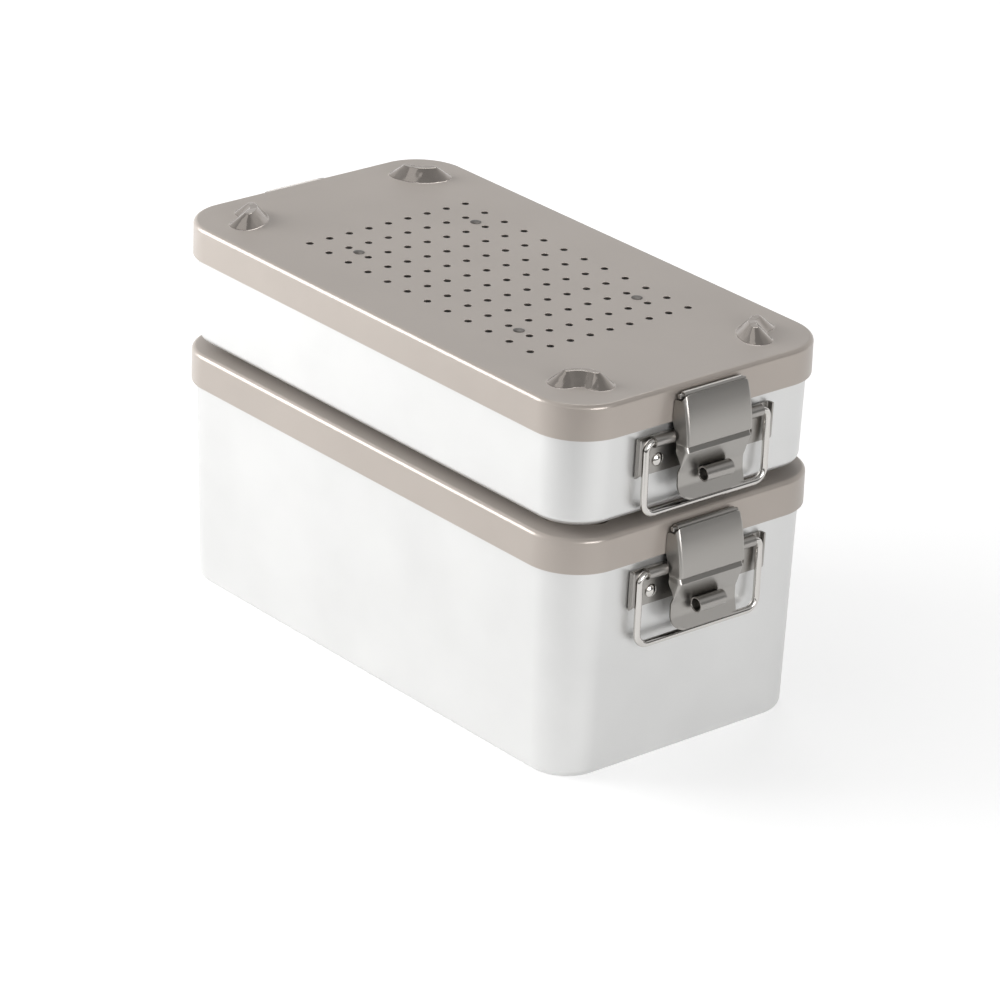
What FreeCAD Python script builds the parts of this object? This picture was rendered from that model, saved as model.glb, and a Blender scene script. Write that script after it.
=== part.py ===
"""Two stacked sterilization containers, each a drawn tub with a perforated latching lid.

Millimetres, +Z up. The origin is the middle of the lower tub's floor. +X points to one
latch end and the containers are alike at both ends.
"""
import FreeCAD, Part
import math
import os

from FreeCAD import Vector

# Lid shell
LID_LENGTH = 300.0
LID_WIDTH = 158.0
LID_CORNER_R = 26.0
LID_SHEET = 1.0
LID_DEPTH = 17.1
LID_BEND_R = 2.2

# Vent field in the lid
VENT_COLUMNS = 12
VENT_ROWS = 9
VENT_PITCH_X = 14.9
VENT_PITCH_Y = 11.9
VENT_DIA = 3.3

# Stacking feet pressed up from the lid
FOOT_HEIGHT = 5.8
FOOT_ARC_R = 12.5
FOOT_INSET = 9.8
FOOT_BASE_HALF_WIDTH = 7.2
FOOT_BASE_HALF_ANGLE = 41.0
FOOT_TOP_HALF_WIDTH = 1.7
FOOT_TOP_HALF_ANGLE = 31.0
FOOT_SEAT_CLEARANCE = 0.3

# Tubs and how they stack
LOWER_HEIGHT = 122.4
UPPER_HEIGHT = 60.5
STACK_GAP = 4.6
TUB_SHEET = 1.2
TUB_DRAFT = 1.5
TUB_FLOOR_R = 4.0
SKIRT_CLEARANCE = 1.3

# Seal between lid and rim
SEAL_WIDTH = 5.0
SEAL_HEIGHT = 5.0
SEAL_CHANNEL_SHEET = 0.8
SEAL_SKIRT_CLEARANCE = 0.3

# Filter and what holds it
FILTER_MARGIN = 9.0
FILTER_THICKNESS = 0.5
RETAINER_MARGIN = 1.5
RETAINER_SHEET = 1.0
RETAINER_RIM = 3.0
RETAINER_CORNER_R = 6.0
RETAINER_WINDOW_COLUMNS = 5
RETAINER_WINDOW_ROWS = 3
RETAINER_WEB = 7.0
STUD_X = 59.4
STUD_Y = 35.7
STUD_SHANK_DIA = 2.6
STUD_DIA = 4.0
STUD_HEAD_DIA = 5.4
STUD_HEAD_HEIGHT = 0.7
STUD_TIP = 2.2
STUD_CLEARANCE = 0.15

# Carrying handle of bent wire
WIRE_DIA = 3.4
HANDLE_HALF_WIDTH = 36.5
HANDLE_DROP = 35.1
HANDLE_BEND_R = 6.0
HANDLE_TOP_BEND_R = 3.9
PIVOT_DEPTH = 23.7

# Bracket riveted to each end of a tub
BRACKET_HALF_WIDTH = 40.2
BRACKET_SHEET = 1.2
BRACKET_TOP = 22.0
BRACKET_BOTTOM = 41.0
BRACKET_EAR = 4.0
BRACKET_CORNER_R = 3.0
KNUCKLE_WALL = 1.0
KNUCKLE_FIT = 0.1
KNUCKLE_INNER_Y = 21.6
KNUCKLE_OUTER_Y = 32.4
CATCH_DIA = 4.0
CATCH_HALF_WIDTH = 16.8
BRACKET_RIVET_Y = 26.6
BRACKET_RIVET_DEPTH = 34.7
BRACKET_RIVET_DIA = 3.2
BRACKET_RIVET_HEAD = 6.6
BRACKET_RIVET_DOME = 1.7

# Latch flap of one folded sheet
LATCH_SHEET = 1.0
LATCH_HALF_WIDTH = 19.6
LATCH_CORNER_R = 4.0
LATCH_TAB_CORNER_R = 7.0
LATCH_FOLD_R = 1.6
LATCH_TOP_OUT = 6.2
LATCH_TOP_DEPTH = 2.2
LATCH_KNEE_OUT = 10.6
LATCH_KNEE_DEPTH = 26.6
LATCH_STEP_OUT = 9.2
LATCH_STEP_DEPTH = 29.8
LATCH_TAB_OUT = 4.3
LATCH_TAB_DEPTH = 41.4
LATCH_END_DEPTH = 55.1
LATCH_FLANGE_END = 37.5
LATCH_FLANGE_LOW_OUT = 3.2
LATCH_SKIRT_CLEARANCE = 0.5
SEAL_LOOP_R = 3.1
SEAL_LOOP_WALL = 0.7
SEAL_LOOP_HALF_LENGTH = 8.8
SEAL_LOOP_OUT = 5.3
SEAL_LOOP_DEPTH = 44.8

# Latch hinge on the lid skirt
PIN_DIA = 2.4
PIN_FIT = 0.08
PIN_DROP = 2.2
PIN_END_CLEARANCE = 0.2
HINGE_SHEET = 0.8
HINGE_KNUCKLE_DIA = 4.2
HINGE_HALF_WIDTH = 17.6
HINGE_BOTTOM = 14.4
HINGE_RIVET_Y = 10.0
HINGE_RIVET_DEPTH = 11.2
HINGE_RIVET_DIA = 2.4
HINGE_RIVET_HEAD = 4.6
HINGE_RIVET_DOME = 1.1
HINGE_RIVET_TAIL = 0.5

# Flat sides of what repeats, so that the facets stay few
VENT_SIDE_COUNT = 8
RIVET_SIDE_COUNT = 12
WIRE_SIDE_COUNT = 8
BEND_CHORD_COUNT = 3
FOOT_CHORD_COUNT = 5

# Places worked out from the sizes above
SKIRT_X = LID_LENGTH / 2
WALL_INSET = LID_SHEET + SKIRT_CLEARANCE
RIM_DEPTH = LID_SHEET + SEAL_CHANNEL_SHEET + SEAL_HEIGHT
DRAFT_SLOPE = math.tan(math.radians(TUB_DRAFT))
WALL_NORMAL = Vector(math.cos(math.radians(TUB_DRAFT)), 0, -math.sin(math.radians(TUB_DRAFT)))
KNUCKLE_DIA = WIRE_DIA + 2 * (KNUCKLE_FIT + KNUCKLE_WALL)
PIN_DEPTH = LATCH_TOP_DEPTH + PIN_DROP
PIN_X = SKIRT_X + HINGE_SHEET + HINGE_KNUCKLE_DIA / 2
FILTER_LENGTH = VENT_PITCH_X * (VENT_COLUMNS - 1) + VENT_DIA + 2 * FILTER_MARGIN
FILTER_WIDTH = VENT_PITCH_Y * (VENT_ROWS - 1) + VENT_DIA + 2 * FILTER_MARGIN
FILTER_DEPTH = LID_SHEET
RETAINER_DEPTH = FILTER_DEPTH + FILTER_THICKNESS

CONTAINERS = {
    "lower": (0.0, LOWER_HEIGHT),
    "upper": (LOWER_HEIGHT + STACK_GAP, UPPER_HEIGHT),
}
ENDS = {"right": False, "left": True}


# Outlines


def flat_xy(a, b, level):
    """Maps an outline point to a plan at height level."""
    return Vector(a, b, level)


def flat_xz(a, b, level):
    """Maps an outline point to a side view at y = level."""
    return Vector(a, level, b)


def flat_yz(a, b, level):
    """Maps an outline point to an end view at x = level."""
    return Vector(level, a, b)


def rounded_face(corners, place, level, chords=0):
    """Closed flat face through corners, each (a, b, radius of its rounding).

    A rounding is an arc, or as many chords of that arc as stated.
    """
    count = len(corners)
    edges = []
    ends = []
    for i, (a, b, radius) in enumerate(corners):
        here = Vector(a, b, 0)
        before = Vector(*corners[i - 1][:2], 0) - here
        after = Vector(*corners[(i + 1) % count][:2], 0) - here
        if radius <= 0:
            ends.append((here, here, here))
            continue
        before.normalize()
        after.normalize()
        half = before.getAngle(after) / 2
        reach = radius / math.tan(half)
        middle = (before + after).normalize() * (radius / math.sin(half) - radius)
        ends.append((here + before * reach, here + middle, here + after * reach))
    for i, (start, middle, stop) in enumerate(ends):
        first, through, last = (place(p.x, p.y, level) for p in (start, middle, stop))
        if start.distanceToPoint(stop) > 1e-6:
            arc = Part.Arc(first, through, last).toShape()
            if chords:
                edges += Part.makePolygon(arc.discretize(chords + 1)).Edges
            else:
                edges.append(arc)
        following = ends[(i + 1) % count][0]
        target = place(following.x, following.y, level)
        if last.distanceToPoint(target) > 1e-6:
            edges.append(Part.makeLine(last, target))
    return Part.Face(Part.Wire(edges))


def box_corners(half_a, half_b, radius):
    """Corners of a rounded rectangle centred on zero."""
    signs = ((-1, -1), (1, -1), (1, 1), (-1, 1))
    return [(sa * half_a, sb * half_b, radius) for sa, sb in signs]


def plate(half_x, half_y, radius, bottom, height):
    """Flat rounded plate lying in plan."""
    face = rounded_face(box_corners(half_x, half_y, radius), flat_xy, bottom)
    return face.extrude(Vector(0, 0, height))


def cylinder(radius, length, start, direction):
    """Round bar from start along direction."""
    return Part.makeCylinder(radius, length, start, direction)


def ring(radius, sides, centre, direction):
    """Regular outline around an axis, with its corners on the circle of that radius."""
    across = Vector(1, 0, 0)
    if abs(direction.x) > 0.5:
        across = direction.cross(Vector(0, 0, 1)).normalize()
    points = []
    for step in range(sides + 1):
        turn = FreeCAD.Rotation(direction, 360.0 * step / sides)
        points.append(centre + turn.multVec(across) * radius)
    return Part.makePolygon(points)


def prism(radius, sides, length, start, direction):
    """Many-sided bar from start along direction."""
    return Part.Face(ring(radius, sides, start, direction)).extrude(direction * length)


def dome(radius, height, base, direction):
    """Rivet head: a low many-sided button with a broad chamfer, flat side at base."""
    button = prism(radius, RIVET_SIDE_COUNT, height, base, direction)
    tip = base + direction * height
    upper = [
        edge for edge in button.Edges
        if all(abs((v.Point - tip).dot(direction)) < 1e-6 for v in edge.Vertexes)
    ]
    return button.makeChamfer(0.75 * height, upper)


def run_around(corners, inset):
    """Solid ring whose section runs around the lid outline moved in by inset.

    Each corner of the section is (distance inward from that outline, z, rounding).
    """
    half_x = LID_LENGTH / 2 - inset
    half_y = LID_WIDTH / 2 - inset
    bend = LID_CORNER_R - inset
    section = [(half_x - d, z, r) for d, z, r in corners]
    face = rounded_face(section, flat_xz, 0, BEND_CHORD_COUNT)
    long_y = half_y - bend
    end_side = face.extrude(Vector(0, long_y, 0))
    moved = face.translated(Vector(0, long_y, 0))
    centre = Vector(half_x - bend, long_y, 0)
    corner = moved.revolve(centre, Vector(0, 0, 1), 90)
    turned = moved.rotated(centre, Vector(0, 0, 1), 90)
    long_side = turned.extrude(Vector(bend - half_x, 0, 0))
    quarter = end_side.fuse([corner, long_side])
    half = quarter.fuse(quarter.mirror(Vector(0, 0, 0), Vector(1, 0, 0)))
    return half.fuse(half.mirror(Vector(0, 0, 0), Vector(0, 1, 0))).removeSplitter()


def at_end(shape, mirrored):
    """A piece modelled at the right end, or its mirror image at the left end."""
    if mirrored:
        return shape.mirror(Vector(0, 0, 0), Vector(1, 0, 0))
    return shape


def at_corners(x, y):
    """The four points (x, y) in all mirror positions."""
    return [(sx * x, sy * y) for sx in (-1, 1) for sy in (-1, 1)]


# Stacking feet


def arc_points(centre, radius, first, last):
    """Points from angle first to angle last of an arc in plan, in even chords."""
    points = []
    for step in range(FOOT_CHORD_COUNT + 1):
        angle = first + (last - first) * step / FOOT_CHORD_COUNT
        points.append(centre + Vector(math.cos(angle), math.sin(angle), 0) * radius)
    return points


def kidney_wire(half_width, half_angle, level):
    """Crescent outline in the +X +Y corner, hollow side towards that corner."""
    reach = math.sqrt(2) / 2 * FOOT_INSET
    centre = Vector(
        LID_LENGTH / 2 - LID_CORNER_R + reach, LID_WIDTH / 2 - LID_CORNER_R + reach, level
    )
    spread = math.radians(half_angle)
    back = math.radians(225)
    first, last = back - spread, back + spread
    ends = []
    for angle in (first, last):
        ends.append(centre + Vector(math.cos(angle), math.sin(angle), 0) * FOOT_ARC_R)
    points = arc_points(centre, FOOT_ARC_R + half_width, first, last)
    points += arc_points(ends[1], half_width, last, last + math.pi)[1:-1]
    points += arc_points(centre, FOOT_ARC_R - half_width, last, first)
    points += arc_points(ends[0], half_width, first + math.pi, first + 2 * math.pi)[1:]
    return Part.makePolygon(points)


def foot_width(height):
    """Half width and half angle of a foot at a height above the lid."""
    share = height / FOOT_HEIGHT
    width = FOOT_BASE_HALF_WIDTH + share * (FOOT_TOP_HALF_WIDTH - FOOT_BASE_HALF_WIDTH)
    angle = FOOT_BASE_HALF_ANGLE + share * (FOOT_TOP_HALF_ANGLE - FOOT_BASE_HALF_ANGLE)
    return width, angle


def foot_body(low, high, grow, level):
    """Crescent block between two heights of a foot, grown outward all round."""
    wires = []
    for height in (low, high):
        width, angle = foot_width(height)
        wires.append(kidney_wire(width + grow, angle, level + height - low))
    return Part.makeLoft(wires, True, True)


def four_corners(shape):
    """A corner piece and its mirror images in all four corners."""
    pair = [shape, shape.mirror(Vector(0, 0, 0), Vector(1, 0, 0))]
    return pair + [piece.mirror(Vector(0, 0, 0), Vector(0, 1, 0)) for piece in pair]


# Tub


def wall_inset(depth_below_rim):
    """Distance of the tub wall's outside from the lid outline."""
    return WALL_INSET + depth_below_rim * DRAFT_SLOPE


def wall_x(top, z, floor):
    """Place of the end wall's outside face at height z."""
    return SKIRT_X - wall_inset(top - RIM_DEPTH - z)


def make_tub(floor, top):
    """Drawn tub with a rounded floor edge and seats for the feet below it."""
    rim = top - RIM_DEPTH
    depth = rim - floor
    low_inset = wall_inset(depth)
    inner_inset = wall_inset(depth - TUB_SHEET) + TUB_SHEET
    floor_reach = TUB_FLOOR_R + 4.0
    section = [
        (wall_inset(0), rim, 0),
        (low_inset, floor, TUB_FLOOR_R),
        (low_inset + floor_reach, floor, 0),
        (low_inset + floor_reach, floor + TUB_SHEET, 0),
        (inner_inset, floor + TUB_SHEET, TUB_FLOOR_R - TUB_SHEET),
        (wall_inset(0) + TUB_SHEET, rim, 0),
    ]
    wall = run_around(section, 0.0)
    inset = low_inset + floor_reach
    base = plate(
        LID_LENGTH / 2 - inset, LID_WIDTH / 2 - inset, LID_CORNER_R - inset, floor, TUB_SHEET
    )
    tub = wall.fuse(base).removeSplitter()
    low, high = STACK_GAP, FOOT_HEIGHT
    bumps = four_corners(foot_body(low, high, FOOT_SEAT_CLEARANCE + TUB_SHEET, floor + TUB_SHEET))
    tub = tub.fuse(bumps)
    seats = four_corners(foot_body(low, high, FOOT_SEAT_CLEARANCE, floor))
    tub = tub.cut(seats).removeSplitter()
    holes = []
    for shank in bracket_rivet_shanks(floor, top, 5.0):
        holes += [at_end(shank, mirrored) for mirrored in ENDS.values()]
    return tub.cut(holes)


# Lid


def make_lid(top):
    """Lid pressed from sheet, with vents, hollow feet and holes for studs and rivets."""
    inner_r = LID_BEND_R - LID_SHEET
    reach = LID_BEND_R + 4.0
    section = [
        (0, top - LID_DEPTH, 0),
        (LID_SHEET, top - LID_DEPTH, 0),
        (LID_SHEET, top - LID_SHEET, inner_r),
        (reach, top - LID_SHEET, 0),
        (reach, top, 0),
        (0, top, LID_BEND_R),
    ]
    skirt = run_around(section, 0.0)
    deck = plate(
        LID_LENGTH / 2 - reach, LID_WIDTH / 2 - reach, LID_CORNER_R - reach,
        top - LID_SHEET, LID_SHEET,
    )
    lid = skirt.fuse(deck).removeSplitter()
    lid = lid.fuse(four_corners(foot_body(0, FOOT_HEIGHT, 0.0, top))).removeSplitter()
    hollow = foot_body(0, FOOT_HEIGHT, -LID_SHEET * 0.85, top - LID_SHEET)
    cuts = four_corners(hollow)
    for column in range(VENT_COLUMNS):
        x = (column - (VENT_COLUMNS - 1) / 2) * VENT_PITCH_X
        for row in range(VENT_ROWS):
            y = (row - (VENT_ROWS - 1) / 2) * VENT_PITCH_Y
            start = Vector(x, y, top - 2 * LID_SHEET)
            cuts.append(prism(
                VENT_DIA / 2, VENT_SIDE_COUNT, 3 * LID_SHEET, start, Vector(0, 0, 1)
            ))
    for x, y in at_corners(STUD_X, STUD_Y):
        start = Vector(x, y, top - 2 * LID_SHEET)
        cuts.append(prism(
            STUD_SHANK_DIA / 2, RIVET_SIDE_COUNT, 3 * LID_SHEET, start, Vector(0, 0, 1)
        ))
    for y in (-HINGE_RIVET_Y, HINGE_RIVET_Y):
        start = Vector(SKIRT_X - 5, y, top - HINGE_RIVET_DEPTH)
        hole = prism(HINGE_RIVET_DIA / 2, RIVET_SIDE_COUNT, 10, start, Vector(1, 0, 0))
        cuts += [at_end(hole, mirrored) for mirrored in ENDS.values()]
    return lid.cut(cuts)


# Seal


def make_seal(top):
    """Silicone ring that the rim of the tub presses on."""
    outer = LID_SHEET + SEAL_SKIRT_CLEARANCE
    low, high = top - RIM_DEPTH, top - LID_SHEET - SEAL_CHANNEL_SHEET
    section = [
        (outer, low, 0), (outer + SEAL_WIDTH, low, 0),
        (outer + SEAL_WIDTH, high, 0), (outer, high, 0),
    ]
    return run_around(section, 0.0)


def make_seal_channel(top):
    """Angle strip under the lid that holds the seal."""
    outer = LID_BEND_R
    inner = LID_SHEET + SEAL_SKIRT_CLEARANCE + SEAL_WIDTH
    far = inner + SEAL_CHANNEL_SHEET
    high = top - LID_SHEET
    web = high - SEAL_CHANNEL_SHEET
    low = web - 0.8 * SEAL_HEIGHT
    section = [
        (outer, high, 0), (outer, web, 0), (inner, web, 0),
        (inner, low, 0), (far, low, 0), (far, high, 0),
    ]
    return run_around(section, 0.0)


# Filter, its retainer and the studs


def stud_holes(top, clearance):
    """Cutters around the four studs."""
    cuts = []
    for x, y in at_corners(STUD_X, STUD_Y):
        start = Vector(x, y, top - LID_SHEET - STUD_TIP - 5)
        cuts.append(prism(
            STUD_DIA / 2 + clearance, RIVET_SIDE_COUNT, 10, start, Vector(0, 0, 1)
        ))
    return cuts


def make_filter(top):
    """Disposable filter sheet lying against the vents."""
    low = top - FILTER_DEPTH - FILTER_THICKNESS
    sheet = plate(FILTER_LENGTH / 2, FILTER_WIDTH / 2, RETAINER_CORNER_R, low, FILTER_THICKNESS)
    return sheet.cut(stud_holes(top, STUD_CLEARANCE))


def make_retainer(top):
    """Windowed plate with a turned-down rim that snaps over the studs."""
    half_x = FILTER_LENGTH / 2 + RETAINER_MARGIN
    half_y = FILTER_WIDTH / 2 + RETAINER_MARGIN
    high = top - RETAINER_DEPTH
    low = high - RETAINER_RIM
    outer = plate(half_x, half_y, RETAINER_CORNER_R, low, RETAINER_RIM)
    inner = plate(
        half_x - RETAINER_SHEET, half_y - RETAINER_SHEET, RETAINER_CORNER_R - RETAINER_SHEET,
        low, RETAINER_RIM - RETAINER_SHEET,
    )
    field_x = 2 * (STUD_X - STUD_DIA) - RETAINER_WEB
    field_y = FILTER_WIDTH - 2 * RETAINER_WEB
    pitch_x = (field_x + RETAINER_WEB) / RETAINER_WINDOW_COLUMNS
    pitch_y = (field_y + RETAINER_WEB) / RETAINER_WINDOW_ROWS
    cuts = [inner] + stud_holes(top, STUD_CLEARANCE)
    for column in range(RETAINER_WINDOW_COLUMNS):
        x = (column - (RETAINER_WINDOW_COLUMNS - 1) / 2) * pitch_x
        for row in range(RETAINER_WINDOW_ROWS):
            y = (row - (RETAINER_WINDOW_ROWS - 1) / 2) * pitch_y
            window = Part.makeBox(
                pitch_x - RETAINER_WEB, pitch_y - RETAINER_WEB, 2 * RETAINER_SHEET,
                Vector(x - (pitch_x - RETAINER_WEB) / 2, y - (pitch_y - RETAINER_WEB) / 2,
                       high - 1.5 * RETAINER_SHEET),
            )
            cuts.append(window)
    return outer.cut(cuts)


def make_studs(top):
    """Four headed studs riveted through the lid to carry the retainer."""
    studs = []
    length = FILTER_THICKNESS + RETAINER_SHEET + STUD_TIP
    for x, y in at_corners(STUD_X, STUD_Y):
        head = dome(STUD_HEAD_DIA / 2, STUD_HEAD_HEIGHT, Vector(x, y, top), Vector(0, 0, 1))
        shank = prism(
            STUD_SHANK_DIA / 2, RIVET_SIDE_COUNT, LID_SHEET,
            Vector(x, y, top - LID_SHEET), Vector(0, 0, 1),
        )
        low = top - LID_SHEET - length
        post = prism(
            STUD_DIA / 2, RIVET_SIDE_COUNT, length, Vector(x, y, low), Vector(0, 0, 1)
        )
        studs.append(head.fuse([shank, post]).removeSplitter())
    return Part.makeCompound(studs)


# Bracket, handle and their rivets


def pivot_point(floor, top):
    """Where the handle's axis crosses the middle plane of the container."""
    z = top - PIVOT_DEPTH
    return Vector(wall_x(top, z, floor) + BRACKET_SHEET + KNUCKLE_DIA / 2, 0, z)


def make_bracket(floor, top):
    """Stamped bracket: back plate, two ears, two rolled knuckles and a rolled catch."""
    high, low = top - BRACKET_TOP, top - BRACKET_BOTTOM
    wall_high, wall_low = wall_x(top, high, floor), wall_x(top, low, floor)
    section = [
        (wall_high, high, 0), (wall_low, low, 0),
        (wall_low + BRACKET_SHEET, low, 0), (wall_high + BRACKET_SHEET, high, 0),
    ]
    start = -BRACKET_HALF_WIDTH
    back = rounded_face(section, flat_xz, start).extrude(Vector(0, 2 * BRACKET_HALF_WIDTH, 0))
    reach = wall_high + BRACKET_EAR
    ear_section = [
        (wall_high, high, 0), (wall_low, low, 0),
        (reach, low, BRACKET_CORNER_R), (reach, high, 0.8),
    ]
    ears = []
    for y in (start, BRACKET_HALF_WIDTH - BRACKET_SHEET):
        ears.append(rounded_face(ear_section, flat_xz, y).extrude(Vector(0, BRACKET_SHEET, 0)))
    pivot = pivot_point(floor, top)
    along = Vector(0, 1, 0)
    width = KNUCKLE_OUTER_Y - KNUCKLE_INNER_Y
    knuckles, bores = [], []
    for y in (-KNUCKLE_OUTER_Y, KNUCKLE_INNER_Y):
        base = Vector(pivot.x, y, pivot.z)
        knuckles.append(cylinder(KNUCKLE_DIA / 2, width, base, along))
        bores.append(cylinder(WIRE_DIA / 2 + KNUCKLE_FIT, width, base, along))
    catch_x = wall_x(top, pivot.z, floor) + BRACKET_SHEET + CATCH_DIA / 2
    catch = cylinder(
        CATCH_DIA / 2, 2 * CATCH_HALF_WIDTH, Vector(catch_x, -CATCH_HALF_WIDTH, pivot.z), along
    )
    gaps = []
    gap_width = KNUCKLE_INNER_Y - CATCH_HALF_WIDTH
    for y in (-KNUCKLE_INNER_Y, CATCH_HALF_WIDTH):
        gaps.append(Part.makeBox(
            20, gap_width, 20, Vector(wall_high - 5, y, pivot.z - KNUCKLE_DIA / 2)
        ))
    bracket = back.fuse(ears + knuckles + [catch])
    holes = bracket_rivet_shanks(floor, top, 5.0)
    return bracket.cut(bores + gaps + holes).removeSplitter()


def bracket_rivet_bases(floor, top):
    """Middles of the rivets' heads on the outside of a bracket."""
    z = top - BRACKET_RIVET_DEPTH
    outside = wall_x(top, z, floor) + BRACKET_SHEET
    return [Vector(outside, y, z) for y in (-BRACKET_RIVET_Y, BRACKET_RIVET_Y)]


def bracket_rivet_shanks(floor, top, extra):
    """Shanks square to the drafted wall, longer than the sheets by extra at both ends."""
    length = (BRACKET_SHEET + TUB_SHEET) * WALL_NORMAL.x
    shanks = []
    for base in bracket_rivet_bases(floor, top):
        start = base - WALL_NORMAL * (length + extra)
        shanks.append(prism(
            BRACKET_RIVET_DIA / 2, RIVET_SIDE_COUNT, length + 2 * extra, start, WALL_NORMAL
        ))
    return shanks


def make_bracket_rivets(floor, top):
    """Four domed rivets, two through each bracket and the tub wall."""
    rivets = []
    radius = BRACKET_RIVET_HEAD / 2
    length = (BRACKET_SHEET + TUB_SHEET) * WALL_NORMAL.x
    bases = bracket_rivet_bases(floor, top)
    for base, shank in zip(bases, bracket_rivet_shanks(floor, top, 0.0)):
        head = dome(radius, BRACKET_RIVET_DOME, base, WALL_NORMAL)
        tail = dome(radius, BRACKET_RIVET_DOME, base - WALL_NORMAL * length, -WALL_NORMAL)
        rivet = head.fuse([shank, tail])
        rivets += [at_end(rivet, mirrored) for mirrored in ENDS.values()]
    return Part.makeCompound(rivets)


def make_handle(floor, top):
    """Wire bail with two round pivots in the knuckles of a bracket."""
    pivot = pivot_point(floor, top)
    inner_y = KNUCKLE_INNER_Y + 1.0
    low = pivot.z - HANDLE_DROP
    half = HANDLE_HALF_WIDTH
    bend_y = half - HANDLE_TOP_BEND_R
    route = [
        (-bend_y, pivot.z, 0), (-half, pivot.z, HANDLE_TOP_BEND_R), (-half, low, HANDLE_BEND_R),
        (half, low, HANDLE_BEND_R), (half, pivot.z, HANDLE_TOP_BEND_R), (bend_y, pivot.z, 0),
    ]
    path = open_route(route, pivot.x)
    start = ring(
        WIRE_DIA / 2, WIRE_SIDE_COUNT, flat_yz(-bend_y, pivot.z, pivot.x), Vector(0, 1, 0)
    )
    bail = path.makePipeShell([start], True, False)
    pivots = []
    for y in (-bend_y, inner_y):
        pivots.append(cylinder(
            WIRE_DIA / 2, bend_y - inner_y, Vector(pivot.x, y, pivot.z), Vector(0, 1, 0)
        ))
    return bail.fuse(pivots)


def open_route(corners, level):
    """Open wire in an end view, with each inner corner rounded."""
    points = [Vector(a, b, 0) for a, b, r in corners]
    edges = []
    last = points[0]
    for i in range(1, len(points) - 1):
        here = points[i]
        before = (points[i - 1] - here).normalize()
        after = (points[i + 1] - here).normalize()
        radius = corners[i][2]
        half = before.getAngle(after) / 2
        reach = radius / math.tan(half)
        middle = here + (before + after).normalize() * (radius / math.sin(half) - radius)
        start, stop = here + before * reach, here + after * reach
        if last.distanceToPoint(start) > 1e-6:
            edges.append(Part.makeLine(
                flat_yz(last.x, last.y, level), flat_yz(start.x, start.y, level)
            ))
        edges.append(Part.Arc(
            flat_yz(start.x, start.y, level), flat_yz(middle.x, middle.y, level),
            flat_yz(stop.x, stop.y, level),
        ).toShape())
        last = stop
    return Part.Wire(edges)


# Latch and its hinge


def offset_inward(points, distance):
    """Points of a side-view line moved towards the tub, with mitred corners."""
    moved = []
    for i, (x, z) in enumerate(points):
        normals = []
        for a, b in ((i - 1, i), (i, i + 1)):
            if a < 0 or b >= len(points):
                continue
            run = Vector(points[b][0] - points[a][0], points[b][1] - points[a][1], 0).normalize()
            normals.append(Vector(run.y, -run.x, 0))
        total = normals[0] if len(normals) == 1 else normals[0] + normals[1]
        total = total.normalize()
        scale = distance / total.dot(normals[0])
        moved.append((x + total.x * scale, z + total.y * scale))
    return moved


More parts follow.
